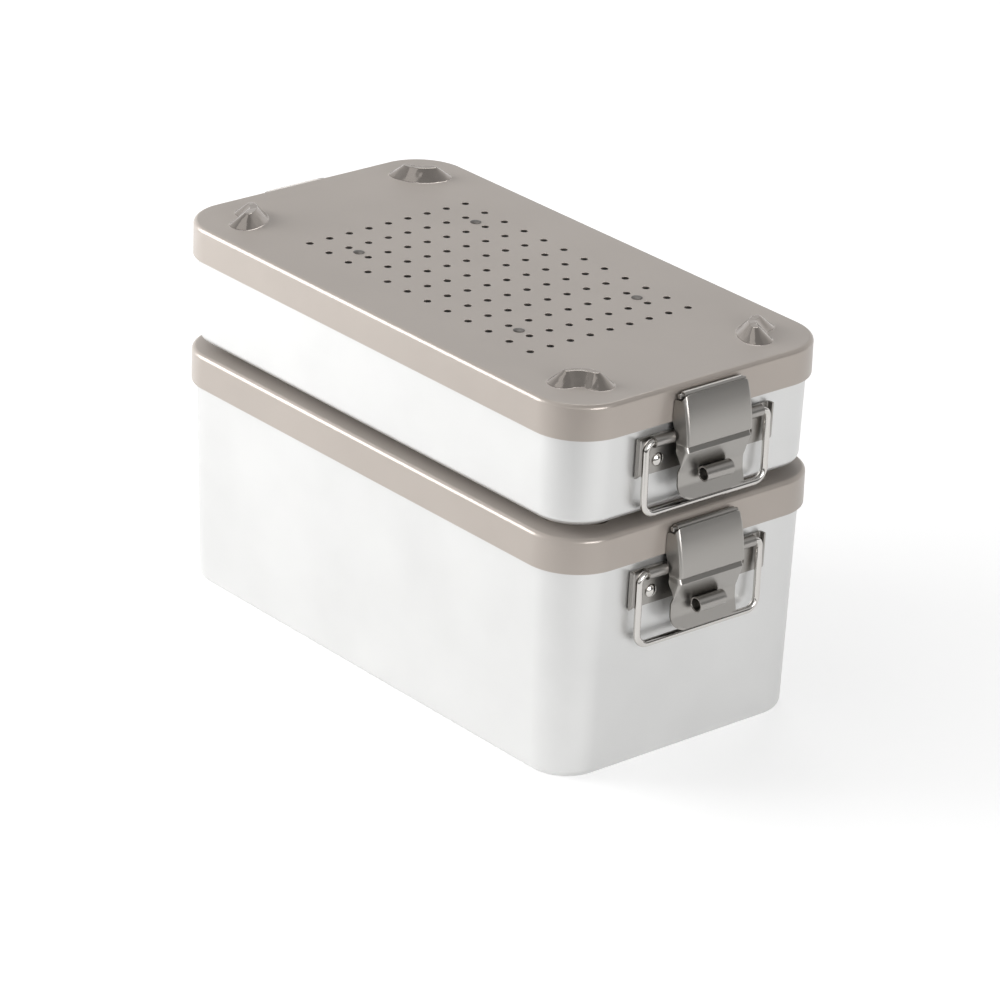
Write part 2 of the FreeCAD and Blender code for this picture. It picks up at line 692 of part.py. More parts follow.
def make_latch(floor, top):
    """Latch flap: face plate, step, grip tab, two side flanges and a seal loop."""
    line = [
        (SKIRT_X + LATCH_TOP_OUT, top - LATCH_TOP_DEPTH),
        (SKIRT_X + LATCH_KNEE_OUT, top - LATCH_KNEE_DEPTH),
        (SKIRT_X + LATCH_STEP_OUT, top - LATCH_STEP_DEPTH),
        (SKIRT_X + LATCH_TAB_OUT, top - LATCH_TAB_DEPTH),
        (SKIRT_X + LATCH_TAB_OUT, top - LATCH_END_DEPTH),
    ]
    inner = offset_inward(line, LATCH_SHEET)
    section = [(x, z, 0) for x, z in line] + [(x, z, 0) for x, z in reversed(inner)]
    width = 2 * LATCH_HALF_WIDTH
    sheet = rounded_face(section, flat_xz, -LATCH_HALF_WIDTH).extrude(Vector(0, width, 0))
    near = SKIRT_X + LATCH_SKIRT_CLEARANCE
    low_near = SKIRT_X + LATCH_FLANGE_LOW_OUT
    end = top - LATCH_FLANGE_END
    flange_section = [
        (line[0][0], line[0][1], PIN_DROP), (near, line[0][1], PIN_DROP - 0.2),
        (near, top - LID_DEPTH - LATCH_SKIRT_CLEARANCE, 2.0),
        (low_near, top - BRACKET_TOP - 2.0, 2.0), (low_near, end, 0),
        (line[2][0] - (line[2][0] - line[3][0]) * (line[2][1] - end) / (line[2][1] - line[3][1]),
         end, 0),
        (line[2][0], line[2][1], 0), (line[1][0], line[1][1], 0),
    ]
    front = [
        (-LATCH_HALF_WIDTH, top - LATCH_END_DEPTH, LATCH_TAB_CORNER_R),
        (LATCH_HALF_WIDTH, top - LATCH_END_DEPTH, LATCH_TAB_CORNER_R),
        (LATCH_HALF_WIDTH, top - LATCH_TOP_DEPTH, LATCH_CORNER_R),
        (-LATCH_HALF_WIDTH, top - LATCH_TOP_DEPTH, LATCH_CORNER_R),
    ]
    outline = rounded_face(front, flat_yz, SKIRT_X - 5).extrude(Vector(30, 0, 0))
    flanges = []
    for y in (-LATCH_HALF_WIDTH, LATCH_HALF_WIDTH - LATCH_SHEET):
        flanges.append(rounded_face(flange_section, flat_xz, y).extrude(Vector(0, LATCH_SHEET, 0)))
    latch = sheet.common(outline).fuse(flanges)
    latch = round_folds(latch, line)
    loop_start = Vector(SKIRT_X + SEAL_LOOP_OUT, -SEAL_LOOP_HALF_LENGTH, top - SEAL_LOOP_DEPTH)
    along = Vector(0, 1, 0)
    outer = cylinder(SEAL_LOOP_R, 2 * SEAL_LOOP_HALF_LENGTH, loop_start, along)
    bore = cylinder(SEAL_LOOP_R - SEAL_LOOP_WALL, 2 * SEAL_LOOP_HALF_LENGTH, loop_start, along)
    behind = Part.makeBox(
        10, 4 * SEAL_LOOP_HALF_LENGTH, 4 * SEAL_LOOP_R,
        Vector(
            SKIRT_X + LATCH_TAB_OUT - LATCH_SHEET - 10, -2 * SEAL_LOOP_HALF_LENGTH,
            loop_start.z - 2 * SEAL_LOOP_R,
        ),
    )
    latch = latch.fuse(outer.cut(behind)).cut(bore)
    hole = cylinder(
        PIN_DIA / 2 + PIN_FIT, 2 * width, Vector(PIN_X, -width, top - PIN_DEPTH), along
    )
    return latch.cut(hole).removeSplitter()


def round_folds(latch, line):
    """Rounds the folds between the face plate and its side flanges."""
    (high_x, high_z), (knee_x, knee_z) = line[:2]
    back = SKIRT_X - LATCH_KNEE_OUT
    wires = []
    for x, z in ((knee_x, knee_z), (high_x, high_z)):
        plan = [
            (back, -LATCH_HALF_WIDTH, 0), (x, -LATCH_HALF_WIDTH, LATCH_FOLD_R),
            (x, LATCH_HALF_WIDTH, LATCH_FOLD_R), (back, LATCH_HALF_WIDTH, 0),
        ]
        wires.append(rounded_face(plan, flat_xy, z, BEND_CHORD_COUNT).OuterWire)
    upper = latch.common(Part.makeLoft(wires, True, True))
    reach = 2 * LATCH_END_DEPTH
    below = Part.makeBox(
        reach, reach, reach, Vector(back, -reach / 2, knee_z - reach)
    )
    return upper.fuse(latch.common(below)).removeSplitter()


def make_pin(top):
    """Hinge pin of a latch."""
    half = LATCH_HALF_WIDTH + PIN_END_CLEARANCE
    return cylinder(PIN_DIA / 2, 2 * half, Vector(PIN_X, -half, top - PIN_DEPTH), Vector(0, 1, 0))


def make_hinge_plate(top):
    """Small plate on the lid skirt, rolled round the latch pin."""
    half = HINGE_HALF_WIDTH
    along = Vector(0, 1, 0)
    high, low = top - PIN_DEPTH, top - HINGE_BOTTOM
    leaf = Part.makeBox(HINGE_SHEET, 2 * half, high - low, Vector(SKIRT_X, -half, low))
    centre = Vector(PIN_X, -half, high)
    knuckle = cylinder(HINGE_KNUCKLE_DIA / 2, 2 * half, centre, along)
    bore = cylinder(PIN_DIA / 2, 2 * half, centre, along)
    root = Part.makeBox(
        HINGE_KNUCKLE_DIA / 2, 2 * half, HINGE_KNUCKLE_DIA / 2,
        Vector(SKIRT_X, -half, high - HINGE_KNUCKLE_DIA / 2),
    )
    cuts = [bore]
    for y in (-HINGE_RIVET_Y, HINGE_RIVET_Y):
        start = Vector(SKIRT_X - 5, y, top - HINGE_RIVET_DEPTH)
        cuts.append(prism(HINGE_RIVET_DIA / 2, RIVET_SIDE_COUNT, 10, start, Vector(1, 0, 0)))
    return leaf.fuse([knuckle, root]).cut(cuts).removeSplitter()


def make_hinge_rivets(top):
    """Four small rivets, two through each hinge plate and the skirt."""
    rivets = []
    z = top - HINGE_RIVET_DEPTH
    outside = SKIRT_X + HINGE_SHEET
    inside = SKIRT_X - LID_SHEET
    for y in (-HINGE_RIVET_Y, HINGE_RIVET_Y):
        head = dome(
            HINGE_RIVET_HEAD / 2, HINGE_RIVET_DOME, Vector(outside, y, z), Vector(1, 0, 0)
        )
        shank = prism(
            HINGE_RIVET_DIA / 2, RIVET_SIDE_COUNT, outside - inside,
            Vector(inside, y, z), Vector(1, 0, 0),
        )
        tail = prism(
            HINGE_RIVET_HEAD / 2, RIVET_SIDE_COUNT, HINGE_RIVET_TAIL,
            Vector(inside, y, z), Vector(-1, 0, 0),
        )
        rivet = head.fuse([shank, tail])
        rivets += [at_end(rivet, mirrored) for mirrored in ENDS.values()]
    return Part.makeCompound(rivets)


def container_pieces(name, floor, top):
    """All pieces of one container, by node name."""
    pieces = {
        f"{name}_tub": make_tub(floor, top),
        f"{name}_lid": make_lid(top),
        f"{name}_lid_seal": make_seal(top),
        f"{name}_seal_channel": make_seal_channel(top),
        f"{name}_filter_sheet": make_filter(top),
        f"{name}_filter_retainer": make_retainer(top),
        f"{name}_filter_studs": make_studs(top),
        f"{name}_bracket_rivets": make_bracket_rivets(floor, top),
        f"{name}_hinge_rivets": make_hinge_rivets(top),
    }
    bracket = make_bracket(floor, top)
    handle = make_handle(floor, top)
    latch = make_latch(floor, top)
    pin = make_pin(top)
    hinge = make_hinge_plate(top)
    for end, mirrored in ENDS.items():
        pieces[f"{name}_{end}_bracket"] = at_end(bracket, mirrored)
        pieces[f"{name}_{end}_handle"] = at_end(handle, mirrored)
        pieces[f"{name}_{end}_latch"] = at_end(latch, mirrored)
        pieces[f"{name}_{end}_latch_pin"] = at_end(pin, mirrored)
        pieces[f"{name}_{end}_latch_hinge"] = at_end(hinge, mirrored)
    return pieces


def main():
    """Writes one STEP file for each piece."""
    os.makedirs("parts", exist_ok=True)
    for name, (floor, height) in CONTAINERS.items():
        for node, shape in container_pieces(name, floor, floor + height).items():
            shape.exportStep(f"parts/{node}.step")


main()
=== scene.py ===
"""Looks of two stacked sterilization containers.

A shallow container stands on the lid feet of a deep one. Each has a silver anodised tub,
a taupe anodised lid with a vent field, and at both ends a stainless latch, bracket and
wire carrying handle. Sizes inside the classes are millimetres in the frame of the part.
"""

import logging
import math
from dataclasses import dataclass, field
from enum import Enum
from functools import lru_cache

import bmesh
import bpy
import numpy as np
from mathutils import Matrix, Vector
from mathutils.geometry import delaunay_2d_cdt


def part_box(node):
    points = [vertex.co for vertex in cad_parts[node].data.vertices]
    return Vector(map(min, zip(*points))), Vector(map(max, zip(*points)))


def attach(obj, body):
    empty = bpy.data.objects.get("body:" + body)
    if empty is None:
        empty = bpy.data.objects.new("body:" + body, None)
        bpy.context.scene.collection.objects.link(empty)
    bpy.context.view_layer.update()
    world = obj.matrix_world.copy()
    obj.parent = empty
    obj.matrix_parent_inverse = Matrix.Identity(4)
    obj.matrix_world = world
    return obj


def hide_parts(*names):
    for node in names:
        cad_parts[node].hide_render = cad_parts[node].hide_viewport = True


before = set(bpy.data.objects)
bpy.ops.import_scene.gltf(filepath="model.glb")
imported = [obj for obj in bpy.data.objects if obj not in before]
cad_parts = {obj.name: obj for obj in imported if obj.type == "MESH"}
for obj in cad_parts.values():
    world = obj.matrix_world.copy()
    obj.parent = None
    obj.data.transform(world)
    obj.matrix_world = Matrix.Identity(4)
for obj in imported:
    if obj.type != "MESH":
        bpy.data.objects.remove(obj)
LOG = logging.getLogger("containers")
MM = 0.001
UP = Vector((0, 0, 1))
ALONG_Y = Vector((0, 1, 0))
CORNERS = [(1, 1), (-1, 1), (-1, -1), (1, -1)]
STUD_SIDES = 20
ROLL_STEPS = 30
BEND_STEPS = 5

Place = tuple[float, float, float]
Pair = tuple[float, float]


class End(Enum):
    """The two latch ends of a container, with the sign of their side along X."""

    RIGHT = 1
    LEFT = -1

    @property
    def word(self) -> str:
        """Name of the end in node names."""
        return self.name.lower()


class Slot(Enum):
    """Material slots of the record."""

    SILVER = "satin_silver_anodised"
    TAUPE = "taupe_anodised"
    PLAIN = "plain_aluminium"
    STAINLESS = "stainless"
    SILICONE = "silicone"
    PAPER = "filter_paper"


class Local(Enum):
    """Places that look different from the plain finish of their slot."""

    FEET = "stamped feet"
    WIRE = "drawn wire and rivets"
    STUD = "stud heads"
    DECK = "flat top of the lid"


# Colours and node helper


def linear(code: str) -> tuple[float, float, float, float]:
    """Turns an sRGB hex colour to linear values.

    A value up to 0.04045 is divided by 12.92. Above that it is (value + 0.055) / 1.055
    to the power 2.4.

    Args:
        code: Six hex digits after a hash sign.

    Returns:
        Linear red, green, blue and an alpha of one.
    """
    parts = np.array([int(code[i:i + 2], 16) for i in (1, 3, 5)]) / 255
    low = parts / 12.92
    high = ((parts + 0.055) / 1.055) ** 2.4
    return (*np.where(parts <= 0.04045, low, high).tolist(), 1.0)


def add_node(
    tree: bpy.types.NodeTree, kind: str, links: dict | None = None, **settings: object,
) -> bpy.types.Node:
    """Adds one node, sets it and links its inputs.

    Args:
        tree: Node tree that gets the node.
        kind: Blender's name of the node type.
        links: Input name or number to the output socket that feeds it.
        **settings: Node properties, or input values under in_NAME.

    Returns:
        The new node.
    """
    node = tree.nodes.new(kind)
    for key, value in settings.items():
        if key.startswith("in_"):
            name = key.removeprefix("in_")
            socket = int(name) if name.isdigit() else name.replace("_", " ")
            node.inputs[socket].default_value = value
        else:
            setattr(node, key, value)
    for name, source in (links or {}).items():
        tree.links.new(source, node.inputs[name])
    return node


# Finishes

# A noise texture stays between these values nearly everywhere.
NOISE_LOW, NOISE_HIGH = 0.3, 0.7
BLACK, WHITE = (0, 0, 0, 1), (1, 1, 1, 1)


@dataclass(frozen=True)
class Finish:
    """A finish: a Principled material that each kind dresses with its own patterns."""

    name: str
    colour: str

    def make(self) -> bpy.types.Material:
        """Builds the material.

        Returns:
            The finished material.
        """
        material = bpy.data.materials.new(self.name)
        material.use_nodes = True
        tree = material.node_tree
        place = add_node(tree, "ShaderNodeTexCoord").outputs["Object"]
        self.dress(tree, tree.nodes["Principled BSDF"], place)
        return material

    def dress(
        self, tree: bpy.types.NodeTree, shader: bpy.types.Node, place: bpy.types.NodeSocket,
    ) -> None:
        """Gives the shader its colour, gloss and relief.

        Args:
            tree: Node tree of the material.
            shader: Its Principled shader.
            place: Object coordinates, which the patterns are laid on.
        """
        raise NotImplementedError(f"{self.name} has no kind")


@dataclass(frozen=True)
class Anodised(Finish):
    """Anodised sheet aluminium: satin, with the fine rolling grain of the sheet.

    The oxide layer is matt and even, so light spreads wide, and only the grain and a
    faint cloudiness break it up. Real grain is finer: it is drawn as coarse as it needs
    to be to show.
    """

    metallic: float
    roughness: float = 0.36
    grain_mm: float = 0.35
    grain_stretch: float = 60.0
    grain_depth: float = 0.012
    grain_strength: float = 0.35
    cloud_mm: float = 45.0
    cloud_share: float = 0.05

    def dress(
        self, tree: bpy.types.NodeTree, shader: bpy.types.Node, place: bpy.types.NodeSocket,
    ) -> None:
        """Adds the grain as relief and the clouds as colour.

        Args:
            tree: Node tree of the material.
            shader: Its Principled shader.
            place: Object coordinates.
        """
        # The grain runs along X on top and long sides and round the ends at one height.
        along = add_node(
            tree, "ShaderNodeMapping", {"Vector": place},
            in_Scale=(1 / self.grain_stretch, 1 / self.grain_stretch, 1.0),
        ).outputs["Vector"]
        grain = add_node(
            tree, "ShaderNodeTexNoise", {"Vector": along},
            in_Scale=1 / (self.grain_mm * MM), in_Detail=3.0, in_Roughness=0.6,
        ).outputs["Fac"]
        cloud = add_node(
            tree, "ShaderNodeTexNoise", {"Vector": place},
            in_Scale=1 / (self.cloud_mm * MM), in_Detail=2.0,
        ).outputs["Fac"]
        shade = add_node(
            tree, "ShaderNodeMapRange", {"Value": cloud},
            in_From_Min=NOISE_LOW, in_From_Max=NOISE_HIGH,
            in_To_Min=1 - self.cloud_share, in_To_Max=1.0,
        ).outputs["Result"]
        colour = add_node(
            tree, "ShaderNodeMix", {"Factor": shade},
            data_type="RGBA", in_6=BLACK, in_7=linear(self.colour),
        ).outputs[2]
        bump = add_node(
            tree, "ShaderNodeBump", {"Height": grain},
            in_Strength=self.grain_strength, in_Distance=self.grain_depth * MM,
        )
        tree.links.new(colour, shader.inputs["Base Color"])
        tree.links.new(bump.outputs["Normal"], shader.inputs["Normal"])
        shader.inputs["Roughness"].default_value = self.roughness
        shader.inputs["Metallic"].default_value = self.metallic


@dataclass(frozen=True)
class Stainless(Finish):
    """Cold-rolled stainless sheet or drawn wire, barrel polished after forming.

    Polishing leaves a metal that mirrors softly: its roughness blurs the reflections, a
    fine haze varies them and shallow orange peel bends them. Where peel_tall stretches
    the peel along Z, it reads as the flats of a stamped wall.
    """

    roughness: float
    peel_mm: float = 1.6
    peel_depth: float = 0.03
    peel_tall: float = 1.0
    peel_strength: float = 0.2
    haze_mm: float = 0.25
    haze_less: float = 0.03
    haze_more: float = 0.05

    def dress(
        self, tree: bpy.types.NodeTree, shader: bpy.types.Node, place: bpy.types.NodeSocket,
    ) -> None:
        """Adds the peel as relief and the haze as gloss.

        Args:
            tree: Node tree of the material.
            shader: Its Principled shader.
            place: Object coordinates.
        """
        drawn = add_node(
            tree, "ShaderNodeMapping", {"Vector": place},
            in_Scale=(1.0, 1.0, 1 / self.peel_tall),
        ).outputs["Vector"]
        peel = add_node(
            tree, "ShaderNodeTexNoise", {"Vector": drawn},
            in_Scale=1 / (self.peel_mm * MM), in_Detail=1.0,
        ).outputs["Fac"]
        haze = add_node(
            tree, "ShaderNodeTexNoise", {"Vector": place},
            in_Scale=1 / (self.haze_mm * MM), in_Detail=4.0,
        ).outputs["Fac"]
        gloss = add_node(
            tree, "ShaderNodeMapRange", {"Value": haze},
            in_From_Min=NOISE_LOW, in_From_Max=NOISE_HIGH,
            in_To_Min=self.roughness - self.haze_less,
            in_To_Max=self.roughness + self.haze_more,
        ).outputs["Result"]
        bump = add_node(
            tree, "ShaderNodeBump", {"Height": peel},
            in_Strength=self.peel_strength, in_Distance=self.peel_depth * MM,
        )
        tree.links.new(gloss, shader.inputs["Roughness"])
        tree.links.new(bump.outputs["Normal"], shader.inputs["Normal"])
        shader.inputs["Base Color"].default_value = linear(self.colour)
        shader.inputs["Metallic"].default_value = 1.0


@dataclass(frozen=True)
class MattSolid(Finish):
    """Moulded silicone or pressed filter fleece: matt, with a fine speckled surface."""

    roughness: float
    fibre_mm: float
    fibre_depth: float
    speckle: float
    fibre_strength: float = 0.4

    def dress(
        self, tree: bpy.types.NodeTree, shader: bpy.types.Node, place: bpy.types.NodeSocket,
    ) -> None:
        """Adds the fibre as relief and as speckle.

        Args:
            tree: Node tree of the material.
            shader: Its Principled shader.
            place: Object coordinates.
        """
        fibre = add_node(
            tree, "ShaderNodeTexNoise", {"Vector": place},
            in_Scale=1 / (self.fibre_mm * MM), in_Detail=5.0, in_Roughness=0.7,
        ).outputs["Fac"]
        shade = add_node(
            tree, "ShaderNodeMapRange", {"Value": fibre},
            in_From_Min=NOISE_LOW, in_From_Max=NOISE_HIGH,
            in_To_Min=1 - self.speckle, in_To_Max=1.0,
        ).outputs["Result"]
        colour = add_node(
            tree, "ShaderNodeMix", {"Factor": shade},
            data_type="RGBA", in_6=BLACK, in_7=linear(self.colour),
        ).outputs[2]
        bump = add_node(
            tree, "ShaderNodeBump", {"Height": fibre},
            in_Strength=self.fibre_strength, in_Distance=self.fibre_depth * MM,
        )
        tree.links.new(colour, shader.inputs["Base Color"])
        tree.links.new(bump.outputs["Normal"], shader.inputs["Normal"])
        shader.inputs["Roughness"].default_value = self.roughness


FINISHES = {
    Slot.SILVER: Anodised("silver_anodised_aluminium", "#DEDEDD", 0.75, roughness=0.38),
    Slot.TAUPE: Anodised("taupe_anodised_aluminium", "#B8AFA7", 0.3, roughness=0.3),
    Slot.PLAIN: Anodised("mill_finish_aluminium", "#C4C5C6", 0.9, roughness=0.3),
    Slot.STAINLESS: Stainless("satin_stainless_sheet", "#A5A29E", roughness=0.32),
    Slot.SILICONE: MattSolid("grey_silicone_rubber", "#6E7072", 0.55, 0.8, 0.02, 0.08),
    # The fleece is a real part; its near-black colour is painted shade that makes the vents above
    # it read as dark holes.
    Slot.PAPER: MattSolid("charcoal_filter_fleece", "#28292B", 0.9, 0.5, 0.05, 0.12),
}
# The punch stretched and rubbed the feet, and the drawing die left the wire and the rivets
# bright, so their highlights are small and hard. The feet are also darker than the lid:
# painted shade on their walls. The stud heads stay dull, and the lid's flat top is more
# matt than the skirt that was drawn round the die; its darker colour is painted shade on
# the top.
LOCAL_FINISHES = {
    # Painted shade: the feet's darker colour stands in for shade on their walls; their gloss and
    # stretched bumps are real.
    Local.FEET: Stainless(
        "burnished_stamped_feet", "#A39C96", roughness=0.13, peel_mm=5.0, peel_depth=2.2,
        peel_tall=8.0,
    ),
    Local.WIRE: Stainless("bright_drawn_wire", "#CBC8C4", roughness=0.1),
    Local.STUD: Stainless("dull_stud_heads", "#5E5B58", roughness=0.42),
    # Painted shade: the flat top is a darker, matt copy of the lid's finish.
    Local.DECK: Anodised("matt_anodised_deck", "#B0A8A1", 0.0, roughness=0.5),
}


# Shapes as arrays


def unit(angle: np.ndarray) -> np.ndarray:
    """Directions at angles, as rows of (cosine, sine)."""
    return np.stack([np.cos(angle), np.sin(angle)], axis=1)


def at_height(plan: np.ndarray, z: float) -> np.ndarray:
    """Points in plan, lifted to one height."""
    return np.column_stack([plan, np.full(len(plan), z)])


def over_corner(radius: float, count: int) -> np.ndarray:
    """Heights over a rounded corner, as radius * (1 - cosine) of even angles."""
    return radius * (1 - np.cos(np.linspace(0, math.pi / 2, count)))


def rounded_off(radius: float, past: float | np.ndarray) -> float | np.ndarray:
    """How far a rounded corner has come in: radius - sqrt(radius^2 - past^2)."""
    return radius - np.sqrt(np.maximum(0.0, radius ** 2 - past ** 2))


def rounded_line(corners: list[Place], steps: int = 8, closed: bool = False) -> np.ndarray:
    """Runs a flat line through corners, each rounded with its own radius.

    A corner of radius r is cut where its circle touches both runs, at r / tan(half
    angle) from the corner, and the arc is stepped evenly in angle.

    Args:
        corners: Triples of first coordinate, second coordinate and radius.
        steps: Steps of each arc.
        closed: True joins the last corner to the first.

    Returns:
        Array of points, two columns.
    """
    points = np.array([c[:2] for c in corners], float)
    count = len(points)
    made: list[np.ndarray] = []
    for i, (_, _, radius) in enumerate(corners):
        here = points[i]
        inner = closed or 0 < i < count - 1
        if radius <= 0 or not inner:
            made.append(here[None])
            continue
        before = points[i - 1] - here
        after = points[(i + 1) % count] - here
        before = before / np.linalg.norm(before)
        after = after / np.linalg.norm(after)
        half = math.acos(float(np.clip(before @ after, -1, 1))) / 2
        middle = (before + after) / np.linalg.norm(before + after)
        centre = here + middle * radius / math.sin(half)
        start = here + before * radius / math.tan(half) - centre
        side = np.sign(before[1] * after[0] - before[0] * after[1])
        angle = np.linspace(0, math.pi - 2 * half, steps + 1) * side
        made.append(centre + np.stack([
            start[0] * np.cos(angle) - start[1] * np.sin(angle),
            start[0] * np.sin(angle) + start[1] * np.cos(angle),
        ], axis=1))
    return np.concatenate(made)


def circle(centre: Pair, radius: float, sides: int) -> np.ndarray:
    """Points evenly round a circle: centre + radius * (cosine, sine).

    Args:
        centre: Middle of the circle.
        radius: Radius of the circle.
        sides: Number of points.

    Returns:
        Array of points, two columns.
    """
    return centre + radius * unit(np.linspace(0, 2 * math.pi, sides, endpoint=False))


def inside_loop(points: np.ndarray, loop: np.ndarray) -> np.ndarray:
    """Tests which points lie inside a closed loop, by counting edge crossings.

    Args:
        points: Points to test.
        loop: Corner points of the loop.

    Returns:
        True where a point is inside.
    """
    a, b = loop, np.roll(loop, -1, axis=0)
    x, y = points[:, :1], points[:, 1:2]
    spans = (a[:, 1] > y) != (b[:, 1] > y)
    # A level edge spans nothing, so any rise will do for it.
    any_rise = 1e-12
    rise = np.where(b[:, 1] == a[:, 1], any_rise, b[:, 1] - a[:, 1])
    reach = a[:, 0] + (y - a[:, 1]) * (b[:, 0] - a[:, 0]) / rise
    return ((spans & (x < reach)).sum(axis=1) % 2) == 1


@dataclass
class Draft:
    """Surface patches that are joined to one mesh."""

    points: list[np.ndarray] = field(default_factory=list)
    faces: list[np.ndarray] = field(default_factory=list)
    total: int = 0
    merge_m: float = 1e-6
    thin_m: float = 1e-7
    plan_merge: float = 1e-7

    def _take(self, points: np.ndarray, faces: np.ndarray) -> None:
        """Adds points and the faces on them.

        Args:
            points: Rows of coordinates.
            faces: Rows of point numbers, counted from the first of these points.
        """
        self.points.append(points)
        self.faces.append(faces + self.total)
        self.total += len(points)

    def grid(self, rows: np.ndarray, wrap: bool = False) -> "Draft":
        """Adds a surface given as a grid of points.

        Args:
            rows: Array of shape rows, columns, 3.
            wrap: True joins the last column to the first.

        Returns:
            This draft.
        """
        high, wide = rows.shape[:2]
        index = np.arange(high * wide).reshape(high, wide)
        right = np.roll(index, -1, axis=1)
        if not wrap:
            index, right = index[:, :-1], right[:, :-1]
        quads = np.stack([index[:-1], right[:-1], right[1:], index[1:]], axis=-1)
        self._take(rows.reshape(-1, 3), quads.reshape(-1, 4))
        return self

    def flat(self, outer: np.ndarray, holes: list[np.ndarray], z: float) -> "Draft":
        """Adds a flat sheet in plan with holes, as Delaunay triangles between the loops.

        Args:
            outer: Outer loop.
            holes: Loops left open.
            z: Height of the sheet.

        Returns:
            This draft.
        """
        loops = [outer, *holes]
        edges: list[tuple[int, int]] = []
        start = 0
        for loop in loops:
            count = len(loop)
            edges += [(start + i, start + (i + 1) % count) for i in range(count)]
            start += count
        plan = [Vector(p) for p in np.concatenate(loops)]
        whole_hull = 1
        made = delaunay_2d_cdt(plan, edges, [], whole_hull, self.plan_merge)
        points = np.array([tuple(p) for p in made[0]])
        faces = np.array([f for f in made[2] if len(f) == 3])
        middle = points[faces].mean(axis=1)
        keep = inside_loop(middle, outer)
        for hole in holes:
            keep &= ~inside_loop(middle, hole)
        self._take(at_height(points, z), faces[keep])
        return self

    def mesh(self, name: str, inside: Place | None = None) -> bpy.types.Mesh:
        """Joins the patches, closes their seams and points the faces outwards.

        Args:
            name: Name of the mesh.
            inside: A point behind an open surface, which its faces look away from.

        Returns:
            The mesh, in metres.
        """
        mesh = bpy.data.meshes.new(name)
        faces = [tuple(f) for group in self.faces for f in group.tolist()]
        mesh.from_pydata((np.concatenate(self.points) * MM).tolist(), [], faces)
        work = bmesh.new()
        work.from_mesh(mesh)
        bmesh.ops.remove_doubles(work, verts=work.verts, dist=self.merge_m)
        bmesh.ops.dissolve_degenerate(work, edges=work.edges, dist=self.thin_m)
        bmesh.ops.recalc_face_normals(work, faces=work.faces)
        if inside is not None:
            back = Vector(inside) * MM
            facing = sum(
                f.normal.dot(f.calc_center_median() - back) * f.calc_area()
                for f in work.faces
            )
            if facing < 0:
                bmesh.ops.reverse_faces(work, faces=work.faces)
        work.to_mesh(mesh)
        work.free()
        return mesh


# Pieces in the scene


def put_in_scene(name: str, data: bpy.types.ID) -> bpy.types.Object:
    """Makes an object of its data and links it to the scene.

    Args:
        name: Name of the object.
        data: Its mesh, lamp or camera data.

    Returns:
        The object.
    """
    made = bpy.data.objects.new(name, data)
    bpy.context.scene.collection.objects.link(made)
    return made


@dataclass(frozen=True)
class Edging:
    """How a mesh is given its thickness and its broken edges, in millimetres."""

    sheet: float = 0.0
    sheet_side: float = -1.0
    bevel: float = 0.0
    bevel_angle: float = 40.0
    bevel_steps: int = 2
    sharp_angle: float = 34.0
    face_weight: int = 60

    def finish(self, piece: bpy.types.Object) -> None:
        """Gives a piece its sheet thickness, bevels and even shading.

        Thickness and bevels are applied, and the even shading stays a modifier.

        Args:
            piece: Object whose mesh is finished.
        """
        if self.sheet:
            solid = piece.modifiers.new("sheet", "SOLIDIFY")
            solid.thickness = self.sheet * MM
            solid.offset = self.sheet_side
            solid.use_even_offset = True
        if self.bevel:
            bevel = piece.modifiers.new("edges", "BEVEL")
            bevel.width = self.bevel * MM
            bevel.segments = self.bevel_steps
            bevel.limit_method = "ANGLE"
            bevel.angle_limit = math.radians(self.bevel_angle)
            bevel.use_clamp_overlap = True
        graph = bpy.context.evaluated_depsgraph_get()
        made = bpy.data.meshes.new_from_object(piece.evaluated_get(graph))
        piece.modifiers.clear()
        piece.data = made
        made.polygons.foreach_set("use_smooth", np.ones(len(made.polygons), bool))
        made.set_sharp_from_angle(angle=math.radians(self.sharp_angle))
        even = piece.modifiers.new("even_shading", "WEIGHTED_NORMAL")
        even.keep_sharp = True
        even.weight = self.face_weight


class Workshop:
    """Makes the materials once and puts finished pieces on their bodies."""

    def __init__(self) -> None:
        """Builds every finish."""
        self.materials = {slot: finish.make() for slot, finish in FINISHES.items()}
        self.local = {place: finish.make() for place, finish in LOCAL_FINISHES.items()}

    def add(
        self, name: str, draft: Draft, body: str, slot: Slot, edging: Edging = Edging(),
        inside: Place | None = None, local: Local | None = None, is_node: bool = True,
    ) -> bpy.types.Object:
        """Makes a piece and puts it on its body.

        Args:
            name: Name of the CAD node, whose piece is called NAME_skin, or of the piece.
            draft: Its surfaces.
            body: The body that it rides on.
            slot: Its finish.
            edging: Its thickness and edges.
            inside: A point behind an open surface.
            local: A place whose look takes the finish's place.
            is_node: True where it stands for the CAD node of that name.

        Returns:
            The piece.
        """
        piece = put_in_scene(f"{name}_skin" if is_node else name, draft.mesh(name, inside))
        edging.finish(piece)
        piece.data.materials.append(self.local.get(local, self.materials[slot]))
        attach(piece, body)
        if is_node:
            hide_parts(name)
        LOG.info("%s: %d faces", piece.name, len(piece.data.polygons))
        return piece


# Plan outline of lid and tub


@dataclass(frozen=True)
class Outline:
    """Rounded rectangle in plan that lid and tub are drawn to."""

    half_x: float
    half_y: float
    radius: float
    steps: int = 28

    def loop(self, inset: float) -> np.ndarray:
        """Outline moved inwards: corner centre plus (radius - inset) times the normal.

        Args:
            inset: Distance inwards.

        Returns:
            Points anticlockwise, from the +X side of the +X +Y corner.
        """
        quarter = np.linspace(0, math.pi / 2, self.steps + 1)
        angle = np.concatenate([quarter + k * math.pi / 2 for k in range(len(CORNERS))])
        signs = np.repeat(CORNERS, self.steps + 1, axis=0)
        centre = signs * (self.half_x - self.radius, self.half_y - self.radius)
        return centre + unit(angle) * (self.radius - inset)

    def around(self, section: np.ndarray) -> np.ndarray:
        """Carries a section of (inset, z) points around the outline.

        Args:
            section: The section's points.

        Returns:
            Grid of points, one row for each point of the section.
        """
        return np.stack([at_height(self.loop(inset), z) for inset, z in section])


# Stacking feet


